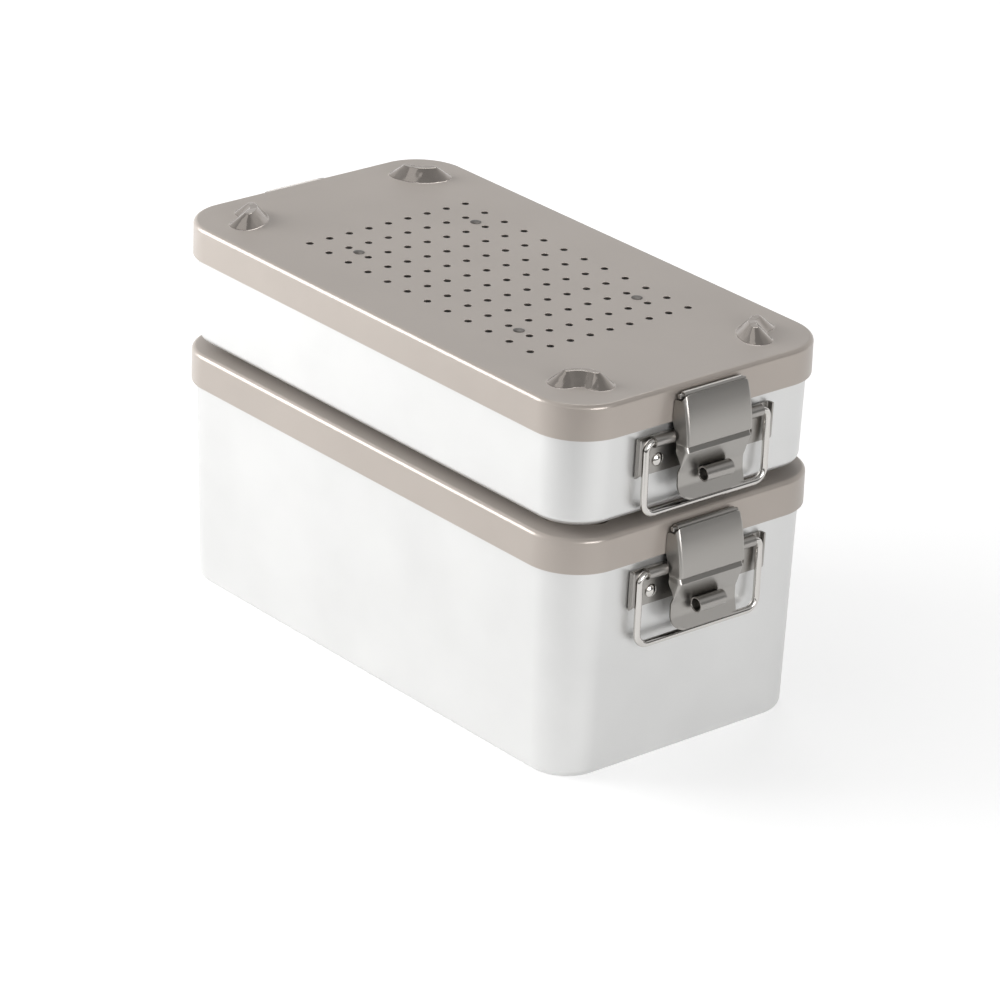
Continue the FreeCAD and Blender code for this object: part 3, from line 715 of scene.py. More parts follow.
@dataclass(frozen=True)
class Foot:
    """Crescent foot pressed up from the lid, hollow side towards the corner."""

    height: float = 5.8
    arc_r: float = 12.5
    inset: float = 9.8
    base_half_width: float = 7.2
    base_half_angle: float = 41.0
    top_half_width: float = 1.7
    top_half_angle: float = 31.0
    top_edge_r: float = 0.7
    root_r: float = 1.2
    steps: int = 12

    def crescent(self, half_width: float, half_angle: float) -> np.ndarray:
        """Closed crescent about the origin of its arc, opening towards +X +Y.

        Two arcs of radius arc_r plus and minus half_width, joined by round ends.

        Args:
            half_width: Half the width of the crescent.
            half_angle: Half the angle of its arc, in degrees.

        Returns:
            Points of the closed loop.
        """
        back = 1.25 * math.pi
        spread = math.radians(half_angle)
        sweep = np.linspace(back - spread, back + spread, self.steps + 1)
        outer = (self.arc_r + half_width) * unit(sweep)
        inner = (self.arc_r - half_width) * unit(sweep[::-1])
        ends = []
        for at, start in ((sweep[-1], sweep[-1]), (sweep[0], sweep[0] + math.pi)):
            middle = self.arc_r * np.array([math.cos(at), math.sin(at)])
            bow = start + np.linspace(0, math.pi, self.steps + 1)[1:-1]
            ends.append(middle + half_width * unit(bow))
        return np.concatenate([outer, ends[0], inner, ends[1]])

    def half_width(self, height: float) -> float:
        """Half width of the crescent at a height above the lid."""
        share = height / self.height
        return self.base_half_width + share * (self.top_half_width - self.base_half_width)

    def half_angle(self, height: float) -> float:
        """Half angle of the crescent at a height above the lid."""
        share = height / self.height
        return self.base_half_angle + share * (self.top_half_angle - self.base_half_angle)

    def side(self) -> np.ndarray:
        """Side line from the lid up to the flat top, as (half width, height)."""
        reach = self.base_half_width + 2 * self.root_r
        return rounded_line([
            (reach, 0.0, 0.0), (self.base_half_width, 0.0, self.root_r),
            (self.top_half_width, self.height, self.top_edge_r), (0.0, self.height, 0.0),
        ], steps=BEND_STEPS)

    def rows(self, centre: Pair, sign: tuple[int, int], z: float) -> np.ndarray:
        """Surface of one foot.

        Args:
            centre: Centre of the arc for the +X +Y corner.
            sign: Signs of the corner.
            z: Height of the lid's top.

        Returns:
            Grid of points from the lid to the middle of the flat top.
        """
        return np.stack([
            at_height((self.crescent(width, self.half_angle(height)) + centre) * sign, z + height)
            for width, height in self.side()
        ])


# Shared sizes of one container


@lru_cache(maxsize=None)
def node_span(node: str) -> np.ndarray:
    """Measures a CAD node once.

    Args:
        node: Full name of the node.

    Returns:
        Lowest and highest corner, in millimetres.
    """
    return np.array([tuple(p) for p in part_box(node)]) / MM


@dataclass(frozen=True)
class Module:
    """Sizes that the pieces of one container share, taken from its CAD nodes."""

    name: str
    foot: Foot = Foot()
    corner_r: float = 26.0
    lid_sheet: float = 1.0
    lid_depth: float = 17.1
    skirt_gap: float = 1.3
    tub_sheet: float = 1.2
    draft_degrees: float = 1.5
    seal_height: float = 5.0
    seal_width: float = 5.0
    channel_sheet: float = 0.8
    seal_skirt_gap: float = 0.3

    def node(self, piece: str) -> str:
        """Full name of a node of this container."""
        return f"{self.name}_{piece}"

    def span(self, piece: str) -> np.ndarray:
        """Lowest and highest corner of one of its nodes, in millimetres."""
        return node_span(self.node(piece))

    @property
    def top(self) -> float:
        """Height of the lid's flat top."""
        return float(self.span("lid")[1][2]) - self.foot.height

    @property
    def floor(self) -> float:
        """Height of the tub's underside."""
        return float(self.span("tub")[0][2])

    @property
    def outline(self) -> Outline:
        """Outline of the lid's skirt."""
        high = self.span("lid")[1]
        return Outline(float(high[0]), float(high[1]), self.corner_r)

    @property
    def rim(self) -> float:
        """Height of the tub's rim."""
        return self.top - self.lid_sheet - self.channel_sheet - self.seal_height

    def wall_inset(self, z: float) -> float:
        """Inset of the tub wall's outside at a height."""
        slope = math.tan(math.radians(self.draft_degrees))
        return self.lid_sheet + self.skirt_gap + (self.rim - z) * slope

    def wall_x(self, z: float) -> float:
        """Place along X of the end wall's outside at a height."""
        return self.outline.half_x - self.wall_inset(z)

    def foot_centre(self) -> Pair:
        """Centre of a foot's arc in the +X +Y corner."""
        reach = self.foot.inset * math.sqrt(0.5)
        outline = self.outline
        return (outline.half_x - self.corner_r + reach, outline.half_y - self.corner_r + reach)


@dataclass(frozen=True)
class Lid:
    """Pressed lid: skirt, bend, deck with vents and four feet."""

    module: Module
    bend_r: float = 2.2
    bend_steps: int = 7
    flat_margin: float = 0.6
    columns: int = 12
    rows: int = 9
    pitch_x: float = 14.9
    pitch_y: float = 11.9
    vent_dia: float = 3.6
    vent_lip: float = 0.22
    vent_lip_slope: float = 0.6
    vent_sides: int = 28
    stud_x: float = 59.4
    stud_y: float = 35.7
    stud_hole_dia: float = 2.6
    foot_from: float = 0.05
    level: float = 0.98

    def vent_centres(self) -> list[Pair]:
        """Middles of all vents."""
        xs = (np.arange(self.columns) - (self.columns - 1) / 2) * self.pitch_x
        ys = (np.arange(self.rows) - (self.rows - 1) / 2) * self.pitch_y
        return [(float(x), float(y)) for x in xs for y in ys]

    def stud_loops(self, radius: float) -> list[np.ndarray]:
        """Circles of one radius round the four studs."""
        middles = [(sx * self.stud_x, sy * self.stud_y) for sx, sy in CORNERS]
        return [circle(middle, radius, STUD_SIDES) for middle in middles]

    def draft(self) -> Draft:
        """Draws the outer surface of the lid.

        The skirt, bend and margin are one section carried round the outline. Each vent
        has a lip that turns down, and the flat deck fills what the vents, stud holes and
        feet leave.

        Returns:
            The surface, with its vents open.
        """
        module = self.module
        top, outline = module.top, module.outline
        margin = self.bend_r + self.flat_margin
        section = rounded_line([
            (0.0, top - module.lid_depth, 0.0), (0.0, top, self.bend_r), (margin, top, 0.0),
        ], steps=self.bend_steps)
        made = Draft().grid(outline.around(section), wrap=True)
        holes = []
        for centre in self.vent_centres():
            rim = circle(centre, self.vent_dia / 2 + self.vent_lip, self.vent_sides)
            edge = circle(centre, self.vent_dia / 2, self.vent_sides)
            low = top - self.vent_lip * self.vent_lip_slope
            made.grid(np.stack([at_height(rim, top), at_height(edge, low)]), wrap=True)
            holes.append(rim)
        for sign, stud_hole in zip(CORNERS, self.stud_loops(self.stud_hole_dia / 2)):
            foot = module.foot.rows(module.foot_centre(), sign, top)
            made.grid(foot, wrap=True)
            holes += [stud_hole, foot[0, :, :2]]
        return made.flat(outline.loop(margin), holes, top)

    def build(self, shop: Workshop) -> None:
        """Adds the lid, with its feet and its flat top in their own looks, whose darker colours
        are painted shade.

        Args:
            shop: Workshop that makes the piece.
        """
        module = self.module
        lid = shop.add(
            module.node("lid"), self.draft(), module.node("lid"), Slot.TAUPE,
            Edging(sheet=module.lid_sheet), inside=(0, 0, module.floor),
        )
        lid.data.materials.append(shop.local[Local.FEET])
        lid.data.materials.append(shop.local[Local.DECK])
        faces = lid.data.polygons
        middle = np.empty(3 * len(faces), np.float32)
        normal = np.empty(3 * len(faces), np.float32)
        faces.foreach_get("center", middle)
        faces.foreach_get("normal", normal)
        # The feet and the flat top get darker copies of the lid's finish: painted shade.
        stamped = middle[2::3].astype(float) > (module.top + self.foot_from) * MM
        flat = normal[2::3].astype(float) > self.level
        looks = np.where(stamped, 1, np.where(flat, 2, 0)).astype(np.int32)
        faces.foreach_set("material_index", looks)


@dataclass(frozen=True)
class Tub:
    """Drawn tub with a rounded floor edge and seats for the feet below it."""

    module: Module
    floor_r: float = 4.0
    floor_steps: int = 10
    flat_margin: float = 0.6
    stack_gap: float = 4.6
    seat_clearance: float = 0.3
    seat_lip: float = 0.3

    def seat_rows(self, sign: tuple[int, int]) -> np.ndarray:
        """Draws the recess in the floor that takes the top of one foot.

        Each row is the foot's crescent at a height, wider by the clearance, and the last
        closes the recess in its middle.

        Args:
            sign: Signs of the corner.

        Returns:
            Grid of points from the floor up to the middle of the recess.
        """
        module, foot = self.module, self.module.foot
        rows = []
        for height, lip, last in (
            (self.stack_gap, self.seat_lip, False), (self.stack_gap, 0.0, False),
            (foot.height, 0.0, False), (foot.height, 0.0, True),
        ):
            width = 0.0 if last else foot.half_width(height) + self.seat_clearance + lip
            plan = foot.crescent(width, foot.half_angle(height)) + module.foot_centre()
            rows.append(at_height(plan * sign, module.floor + height - self.stack_gap))
        return np.stack(rows)

    def draft(self) -> Draft:
        """Draws the outer surface: wall and floor edge round the outline, floor, seats.

        Returns:
            The surface, open at the rim.
        """
        module = self.module
        low = module.floor
        inset = module.wall_inset(low)
        reach = inset + self.floor_r + self.flat_margin
        section = rounded_line([
            (module.wall_inset(module.rim), module.rim, 0.0), (inset, low, self.floor_r),
            (reach, low, 0.0),
        ], steps=self.floor_steps)
        made = Draft().grid(module.outline.around(section), wrap=True)
        seats = [self.seat_rows(sign) for sign in CORNERS]
        for seat in seats:
            made.grid(seat, wrap=True)
        return made.flat(module.outline.loop(reach), [s[0, :, :2] for s in seats], low)

    def build(self, shop: Workshop) -> None:
        """Adds the tub to the scene.

        Args:
            shop: Workshop that makes the piece.
        """
        module = self.module
        shop.add(
            module.node("tub"), self.draft(), module.node("tub"), Slot.SILVER,
            Edging(sheet=module.tub_sheet, bevel=0.2, bevel_angle=60),
            inside=(0, 0, module.rim),
        )


@dataclass(frozen=True)
class Seal:
    """Silicone ring under the lid and the angle strip that holds it."""

    module: Module
    strip_drop: float = 0.8
    bend_r: float = 2.2
    ring_edge_r: float = 0.6
    ring_steps: int = 4

    def closed_ring(self, section: np.ndarray) -> Draft:
        """Closed ring of one section around the outline."""
        rows = self.module.outline.around(section)
        return Draft().grid(np.concatenate([rows, rows[:1]]), wrap=True)

    def build(self, shop: Workshop) -> None:
        """Adds the ring and the strip to the scene.

        Args:
            shop: Workshop that makes the pieces.
        """
        module = self.module
        outer = module.lid_sheet + module.seal_skirt_gap
        inner = outer + module.seal_width
        high = module.top - module.lid_sheet
        web = high - module.channel_sheet
        low = module.rim
        ring = rounded_line([
            (outer, low, self.ring_edge_r), (inner, low, self.ring_edge_r),
            (inner, web, 0.0), (outer, web, 0.0),
        ], steps=self.ring_steps, closed=True)
        shop.add(
            module.node("lid_seal"), self.closed_ring(ring), module.node("lid"),
            Slot.SILICONE,
        )
        far = inner + module.channel_sheet
        foot = web - self.strip_drop * module.seal_height
        strip = np.array([
            (self.bend_r, high), (self.bend_r, web), (inner, web),
            (inner, foot), (far, foot), (far, high),
        ])
        shop.add(
            module.node("seal_channel"), self.closed_ring(strip), module.node("lid"),
            Slot.PLAIN, Edging(bevel=0.15),
        )


# Turned and rolled pieces

# A rivet head's shape: its upright edge as a share of the height, how far its flat back is
# tucked in, and the height at which the edge is at full radius, as a share of the edge.
HEAD_EDGE, HEAD_TUCK, HEAD_TUCK_RISE, HEAD_STEPS = 0.25, 0.97, 0.4, 9
# A cut wire's softened end, as (distance along, radius of the ring) in wire radii.
WIRE_TIP = [(0.0, 0.0), (0.0, 0.6), (0.12, 0.88), (0.35, 1.0)]


def turned_rows(
    line: list[Pair] | np.ndarray, base: Place, axis: Vector, sides: int = 28,
) -> np.ndarray:
    """Turns a line of (radius, height) about an axis through base.

    Args:
        line: The turned line.
        base: Point on the axis at height zero.
        axis: Direction of the height.
        sides: Steps round the axis.

    Returns:
        Grid of points, one row for each point of the line.
    """
    angle = np.linspace(0, 2 * math.pi, sides, endpoint=False)
    first = np.array(axis.orthogonal().normalized())
    second = np.cross(np.array(axis), first)
    ring = np.outer(np.cos(angle), first) + np.outer(np.sin(angle), second)
    return np.stack([np.array(base) + r * ring + h * np.array(axis) for r, h in line])


def dome_rows(radius: float, height: float, base: Place, axis: Vector) -> np.ndarray:
    """Surface of a rivet head: a ball's cap with a small upright edge and a flat back.

    The ball's radius is (radius^2 + rise^2) / (2 * rise) for a cap of that rise.

    Args:
        radius: Radius at the base.
        height: Height of the head.
        base: Middle of its flat side.
        axis: Direction that it bulges in.

    Returns:
        Grid of points.
    """
    edge = height * HEAD_EDGE
    rise = height - edge
    ball = (radius ** 2 + rise ** 2) / (2 * rise)
    angle = np.linspace(math.asin(min(1.0, radius / ball)), 0, HEAD_STEPS)
    cap = np.stack([ball * np.sin(angle), edge + ball * np.cos(angle) - (ball - rise)], 1)
    back = [(0.0, 0.0), (radius * HEAD_TUCK, 0.0), (radius, edge * HEAD_TUCK_RISE)]
    return turned_rows(np.concatenate([back, cap]), base, axis)


def tube_rows(path: np.ndarray, x: float, radius: float, sides: int = 22) -> np.ndarray:
    """Round wire along a flat path of (y, z) points in the plane at x.

    Each ring is radius * (cos t * X axis + sin t * the path's own normal).

    Args:
        path: Points of the wire's middle line.
        x: Place of the plane.
        radius: Radius of the wire.
        sides: Points round the wire.

    Returns:
        Grid of points with softened ends.
    """
    run = np.gradient(path, axis=0)
    run /= np.linalg.norm(run, axis=1)[:, None]
    normal = np.stack([-run[:, 1], run[:, 0]], axis=1)
    gaps, shares = np.array(WIRE_TIP).T
    middle = np.concatenate([
        path[0] + np.outer(gaps, run[0]) * radius, path[1:-1],
        path[-1] - np.outer(gaps[::-1], run[-1]) * radius,
    ])
    normals = np.concatenate([
        np.repeat(normal[:1], len(gaps), axis=0), normal[1:-1],
        np.repeat(normal[-1:], len(gaps), axis=0),
    ])
    size = radius * np.concatenate([shares, np.ones(len(path) - 2), shares[::-1]])[:, None]
    angle = np.linspace(0, 2 * math.pi, sides, endpoint=False)
    along_x = x + size * np.cos(angle)[None]
    swing = size[..., None] * np.sin(angle)[None, :, None]
    flat = middle[:, None] + swing * normals[:, None]
    return np.concatenate([along_x[..., None], flat], axis=-1)


def rolled_path(foot: Pair, pivot: Pair, radius: float, turn: float) -> np.ndarray:
    """Side view of a sheet that runs up to a roll and curls round it.

    The leaf rises from foot to the roll's back, and the curl is radius times the
    cosine and sine of an angle that falls from 180 degrees.

    Args:
        foot: Lower end of the leaf as (x, z).
        pivot: Middle of the roll.
        radius: Radius of the sheet's middle in the roll.
        turn: Degrees that the curl goes round.

    Returns:
        Points of the sheet's middle line.
    """
    angle = np.radians(180 - np.linspace(0, turn, ROLL_STEPS))
    return np.concatenate([[foot], pivot + radius * unit(angle)])


def across(path: np.ndarray, low: float, high: float) -> np.ndarray:
    """Carries a side view of (x, z) points along Y.

    Args:
        path: The side view.
        low: Lowest Y.
        high: Highest Y.

    Returns:
        Grid of points, one row for each end.
    """
    return np.stack([
        np.column_stack([path[:, 0], np.full(len(path), y), path[:, 1]])
        for y in (float(low), float(high))
    ])


@dataclass(frozen=True)
class FilterHolder:
    """Filter sheet, windowed retainer and the four studs through the lid."""

    module: Module
    lid: Lid
    corner_r: float = 6.0
    outline_steps: int = 10
    sheet: float = 0.5
    plate: float = 1.0
    rim: float = 3.0
    rim_bend_r: float = 1.4
    flat_margin: float = 0.3
    web: float = 7.0
    windows_x: int = 5
    windows_y: int = 3
    window_corner_r: float = 1.5
    window_steps: int = 4
    stud_dia: float = 4.0
    stud_gap: float = 0.15
    head_dia: float = 5.4
    head_height: float = 0.7
    collar_share: float = 0.6
    stud_tip: float = 2.2
    tip_chamfer: float = 0.4

    def outline(self, piece: str) -> Outline:
        """Rounded outline of a node's box."""
        high = self.module.span(piece)[1]
        return Outline(float(high[0]), float(high[1]), self.corner_r, self.outline_steps)

    def stud_loops(self) -> list[np.ndarray]:
        """Holes round the studs."""
        return self.lid.stud_loops(self.stud_dia / 2 + self.stud_gap)

    def windows(self) -> list[np.ndarray]:
        """Windows punched in the retainer, in even rows between the studs.

        Returns:
            One loop for each window.
        """
        high = self.module.span("filter_sheet")[1]
        field_x = 2 * (self.lid.stud_x - self.stud_dia) - self.web
        field_y = 2 * float(high[1]) - 2 * self.web
        pitch_x = (field_x + self.web) / self.windows_x
        pitch_y = (field_y + self.web) / self.windows_y
        half_x, half_y = (pitch_x - self.web) / 2, (pitch_y - self.web) / 2
        shape = Outline(half_x, half_y, self.window_corner_r, self.window_steps).loop(0)
        xs = (np.arange(self.windows_x) - (self.windows_x - 1) / 2) * pitch_x
        ys = (np.arange(self.windows_y) - (self.windows_y - 1) / 2) * pitch_y
        return [shape + (x, y) for x in xs for y in ys]

    def studs(self) -> Draft:
        """Draws the studs: a dome on the lid, and a collar and post below it.

        Returns:
            The surfaces of all four.
        """
        top, sheet = self.module.top, self.module.lid_sheet
        low = -sheet - self.sheet - self.plate - self.stud_tip
        post, head = self.stud_dia / 2, self.head_dia / 2
        collar = head * self.collar_share
        line = [
            (0.0, low), (post - self.tip_chamfer, low), (post, low + self.tip_chamfer),
            (post, -sheet), (collar, -sheet), (collar, 0.0),
        ]
        made = Draft()
        for sx, sy in CORNERS:
            base = (sx * self.lid.stud_x, sy * self.lid.stud_y, top)
            made.grid(dome_rows(head, self.head_height, base, UP), wrap=True)
            made.grid(turned_rows(line, base, UP), wrap=True)
        return made

    def build(self, shop: Workshop) -> None:
        """Adds the sheet, the retainer and the studs to the scene.

        Args:
            shop: Workshop that makes the pieces.
        """
        module = self.module
        inside = (0, 0, module.floor)
        high = float(module.span("filter_sheet")[1][2])
        paper = Draft().flat(self.outline("filter_sheet").loop(0), self.stud_loops(), high)
        shop.add(
            module.node("filter_sheet"), paper, module.node("lid"), Slot.PAPER,
            Edging(sheet=self.sheet), inside,
        )
        face = float(module.span("filter_retainer")[1][2])
        reach = self.rim_bend_r + self.flat_margin
        section = rounded_line([
            (0.0, face - self.rim, 0.0), (0.0, face, self.rim_bend_r), (reach, face, 0.0),
        ], steps=BEND_STEPS)
        outline = self.outline("filter_retainer")
        plate = Draft().grid(outline.around(section), wrap=True)
        plate.flat(outline.loop(reach), self.stud_loops() + self.windows(), face)
        shop.add(
            module.node("filter_retainer"), plate, module.node("filter_retainer"),
            Slot.PLAIN, Edging(sheet=self.plate), inside,
        )
        shop.add(
            module.node("filter_studs"), self.studs(), module.node("lid"), Slot.STAINLESS,
            local=Local.STUD,
        )


# End fittings


@dataclass(frozen=True)
class EndFitting:
    """What the pieces at one latch end share."""

    module: Module
    end: End
    pivot_depth: float = 23.7
    bracket_sheet: float = 1.2
    wire_dia: float = 3.4
    knuckle_wall: float = 1.0
    knuckle_fit: float = 0.1
    behind_share: float = 0.9
    behind_depth: float = 30.0

    @property
    def knuckle_r(self) -> float:
        """Outer radius of the rolled knuckles."""
        return self.wire_dia / 2 + self.knuckle_fit + self.knuckle_wall

    @property
    def pivot(self) -> Pair:
        """Handle axis in side view."""
        z = self.module.top - self.pivot_depth
        return (self.module.wall_x(z) + self.bracket_sheet + self.knuckle_r, z)

    def side(self, rows: np.ndarray) -> np.ndarray:
        """Grid at this end: as made, or mirrored to the left end."""
        return rows * (self.end.value, 1, 1)

    def node(self, piece: str) -> str:
        """Full node name of a piece at this end."""
        return self.module.node(f"{self.end.word}_{piece}")

    def behind(self) -> Place:
        """A point inside the container behind this end's fittings."""
        x = self.end.value * self.module.outline.half_x * self.behind_share
        return (x, 0, self.module.top - self.behind_depth)


@dataclass(frozen=True)
class Handle(EndFitting):
    """Carrying handle: a bail of bent wire hanging in the knuckles."""

    half_width: float = 36.5
    drop: float = 35.1
    bend_r: float = 6.0
    top_bend_r: float = 3.9
    bend_steps: int = 12
    inner_y: float = 22.6

    def build(self, shop: Workshop) -> None:
        """Adds the handle to the scene.

        Args:
            shop: Workshop that makes the piece.
        """
        x, z = self.pivot
        low = z - self.drop
        half = self.half_width
        path = rounded_line([
            (-self.inner_y, z, 0), (-half, z, self.top_bend_r), (-half, low, self.bend_r),
            (half, low, self.bend_r), (half, z, self.top_bend_r), (self.inner_y, z, 0),
        ], steps=self.bend_steps)
        rows = tube_rows(path, x, self.wire_dia / 2)
        shop.add(
            self.node("handle"), Draft().grid(self.side(rows), wrap=True),
            self.node("handle"), Slot.STAINLESS, local=Local.WIRE,
        )


@dataclass(frozen=True)
class Bracket(EndFitting):
    """Stamped bracket with bent ears, rolled knuckles and a rolled catch."""

    half_width: float = 40.2
    top_depth: float = 22.0
    rolled_sheet: float = 1.0
    bottom_depth: float = 41.0
    ear: float = 4.0
    ear_stub: float = 0.8
    fold_r: float = 1.3
    ear_corner_r: float = 3.0
    ear_corner_steps: int = 7
    ear_steps: int = 4
    knuckle_inner_y: float = 21.6
    knuckle_outer_y: float = 32.4
    knuckle_turn: float = 330.0
    leaf: float = 5.0
    catch_dia: float = 4.0
    catch_half_width: float = 16.8
    catch_turn: float = 300.0

    def plate_rows(self) -> np.ndarray:
        """Draws the middle of the sheet: ear, fold, back plate, fold, ear.

        The ears are cut off round at the bottom, so their reach shrinks there.

        Returns:
            Grid of points, one row for each height.
        """
        module = self.module
        high, low = module.top - self.top_depth, module.top - self.bottom_depth
        half = self.half_width - self.rolled_sheet / 2
        sunk = self.bracket_sheet - self.rolled_sheet / 2
        straight = low + self.ear_corner_r
        heights = np.concatenate([
            low + over_corner(self.ear_corner_r, self.ear_corner_steps),
            np.linspace(straight, high, self.ear_steps)[1:],
        ])
        rows = []
        for z in heights:
            cut = rounded_off(self.ear_corner_r, max(0.0, straight - z))
            reach = self.ear - min(cut, self.ear - self.fold_r - self.ear_stub)
            line = rounded_line([
                (-half, reach, 0), (-half, sunk, self.fold_r),
                (half, sunk, self.fold_r), (half, reach, 0),
            ], steps=BEND_STEPS)
            rows.append(at_height(line[:, ::-1] + (module.wall_x(z), 0), z))
        return np.stack(rows)

    def build(self, shop: Workshop) -> None:
        """Adds the bracket to the scene.

        Args:
            shop: Workshop that makes the piece.
        """
        module = self.module
        made = Draft().grid(self.side(self.plate_rows()))
        x, z = self.pivot
        back = module.wall_x(z) + self.bracket_sheet
        sunk = self.rolled_sheet / 2
        foot = (back - sunk, z - self.leaf)
        roll = rolled_path(foot, (x, z), self.knuckle_r - sunk, self.knuckle_turn)
        inner, outer = self.knuckle_inner_y, self.knuckle_outer_y
        for low, high in ((-outer, -inner), (inner, outer)):
            made.grid(self.side(across(roll, low, high)))
        catch_r = self.catch_dia / 2
        lip = rolled_path(foot, (back + catch_r, z), catch_r - sunk, self.catch_turn)
        made.grid(self.side(across(lip, -self.catch_half_width, self.catch_half_width)))
        shop.add(
            self.node("bracket"), made, module.node("tub"), Slot.STAINLESS,
            Edging(sheet=self.rolled_sheet, sheet_side=0.0, bevel=0.15), self.behind(),
        )


@dataclass(frozen=True)
class Latch(EndFitting):
    """Latch flap: face plate, step, grip tab, side flanges and seal loop.

    A size ending in out is a distance from the lid's skirt, and one ending in depth is a
    distance below the lid's top.
    """

    sheet: float = 1.0
    half_width: float = 19.6
    face_columns: int = 15
    corner_r: float = 3.2
    corner_fade: float = 6.0
    tab_corner_r: float = 8.0
    tab_far_corner_r: float = 2.0
    fold_r: float = 1.6
    fold_least: float = 0.02
    fold_past_flange: float = 2.0
    fold_fade: float = 8.0
    fold_columns: int = 7
    top_out: float = 6.2
    top_depth: float = 3.0
    knee_out: float = 10.6
    knee_depth: float = 26.6
    knee_r: float = 0.5
    undercut_in: float = 1.6
    undercut_drop: float = 0.6
    undercut_r: float = 0.25
    step_out: float = 9.2
    step_swell: float = 0.9
    step_depth: float = 29.8
    step_r: float = 0.4
    tab_out: float = 4.8
    tab_depth: float = 41.4
    tab_r: float = 4.0
    flare_swell: float = 0.1
    flare_depth: float = 47.6
    flare_r: float = 9.0
    end_out: float = 6.6
    end_depth: float = 55.1
    crown: float = 0.9
    skirt_gap: float = 0.5
    low_gap: float = 3.2
    flange_turn_depth: float = 17.6
    flange_low_depth: float = 22.5
    flange_end: float = 37.5
    flange_fade: float = 6.0
    flange_corner_r: float = 2.0
    flange_splay: float = 1.0
    splay_reach: float = 7.2
    loop_r: float = 3.5
    loop_wall: float = 0.75
    loop_half_length: float = 8.0
    loop_shift: float = 0.6
    loop_out: float = 8.1
    loop_depth: float = 43.2
    loop_lip: float = 0.2
    loop_mouth: float = 1.2
    loop_sides: int = 32

    def face_line(self) -> np.ndarray:
        """Draws the outside of the flap in side view.

        The face is crowned: crown * (1 - (2 * share - 1) ** 2) over its height. Depths
        lie close together where a corner or a bend needs them.

        Returns:
            Rows of (distance from the skirt, depth).
        """
        line = rounded_line([
            (self.top_out, self.top_depth, 0), (self.knee_out, self.knee_depth, self.knee_r),
            (self.knee_out - self.undercut_in, self.knee_depth + self.undercut_drop,
             self.undercut_r),
            (self.step_out + self.step_swell, self.step_depth, self.step_r),
            (self.tab_out, self.tab_depth, self.tab_r),
            (self.tab_out + self.flare_swell, self.flare_depth, self.flare_r),
            (self.end_out, self.end_depth, 0),
        ], steps=4)
        depth = np.unique(np.concatenate([
            line[:, 1], self.top_depth + over_corner(self.corner_r, 8),
            np.linspace(self.top_depth + self.corner_r, self.knee_depth - 2, 8),
            np.linspace(self.step_depth + 1, self.tab_depth, 8),
            np.linspace(self.tab_depth, self.end_depth - self.tab_corner_r, 4),
            self.end_depth - over_corner(self.tab_corner_r, 10),
            self.end_depth - over_corner(self.tab_far_corner_r, 6),
        ]).round(4))
        share = np.clip((depth - self.top_depth) / (self.knee_depth - self.top_depth), 0, 1)
        crown = self.crown * (1 - (2 * share - 1) ** 2)
        return np.stack([np.interp(depth, line[:, 1], line[:, 0]) + crown, depth], axis=1)

    def flange_edge(self, depth: float) -> float:
        """Finds where a flange's free edge runs.

        Args:
            depth: Depth below the lid's top.

        Returns:
            Distance of the edge from the skirt.
        """
        edge = np.interp(
            depth, [self.flange_turn_depth, self.flange_low_depth],
            [self.skirt_gap, self.low_gap],
        )
        above = max(0.0, self.top_depth + self.flange_corner_r - depth)
        return float(edge + rounded_off(self.flange_corner_r, above))

    def tab_edge(self, depth: float, radius: float) -> float:
        """Half width of the flap at a depth, with a lower corner of that radius."""
        return self.half_width - rounded_off(radius, max(0.0, depth - (self.end_depth - radius)))

    def top_drop(self, ys: np.ndarray) -> np.ndarray:
        """How far the top edge drops towards its rounded corners."""
        near = np.clip(np.abs(ys) - (self.half_width - self.corner_r), 0, self.corner_r)
        return rounded_off(self.corner_r, near)

    def rows(self) -> np.ndarray:
        """Draws the outer surface of the flap.

        Across the flap, a row goes from one flange's free edge round its fold over the
        face to the other flange. The fold is a quarter circle that dies out where the
        flange ends.

        Returns:
            Grid of points, one row for each depth.
        """
        module = self.module
        angle = np.linspace(0, math.pi / 2, self.fold_columns)
        rows = []
        for out, depth in self.face_line():
            left = (self.flange_end + self.fold_past_flange - depth) / self.fold_fade
            fold = max(self.fold_least, self.fold_r * np.clip(left, 0.0, 1.0))
            fade = np.clip((self.flange_end - depth) / self.flange_fade, 0, 1)
            room = max(out - fold - self.fold_least - self.flange_edge(depth), 0.0)
            deep = room * fade
            splay = self.flange_splay * deep / self.splay_reach
            near = self.tab_edge(depth, self.tab_corner_r)
            far = self.tab_edge(depth, self.tab_far_corner_r)
            side_x = np.concatenate([
                [out - fold - deep, out - fold - deep * 0.5], out - fold + fold * np.sin(angle),
            ])
            turn = np.concatenate([[splay, splay / 2], fold * np.cos(angle) - fold])
            middle = np.linspace(-near + fold, far - fold, self.face_columns)[1:-1]
            ys = np.concatenate([-near - turn, middle, (far + turn)[::-1]])
            xs = np.concatenate([side_x, np.full(len(middle), out), side_x[::-1]])
            fading = max(0.0, 1 - (depth - self.top_depth) / self.corner_fade)
            rows.append(np.column_stack([
                module.outline.half_x + xs, ys * self.end.value,
                module.top - depth - self.top_drop(ys) * fading,
            ]))
        return np.stack(rows)

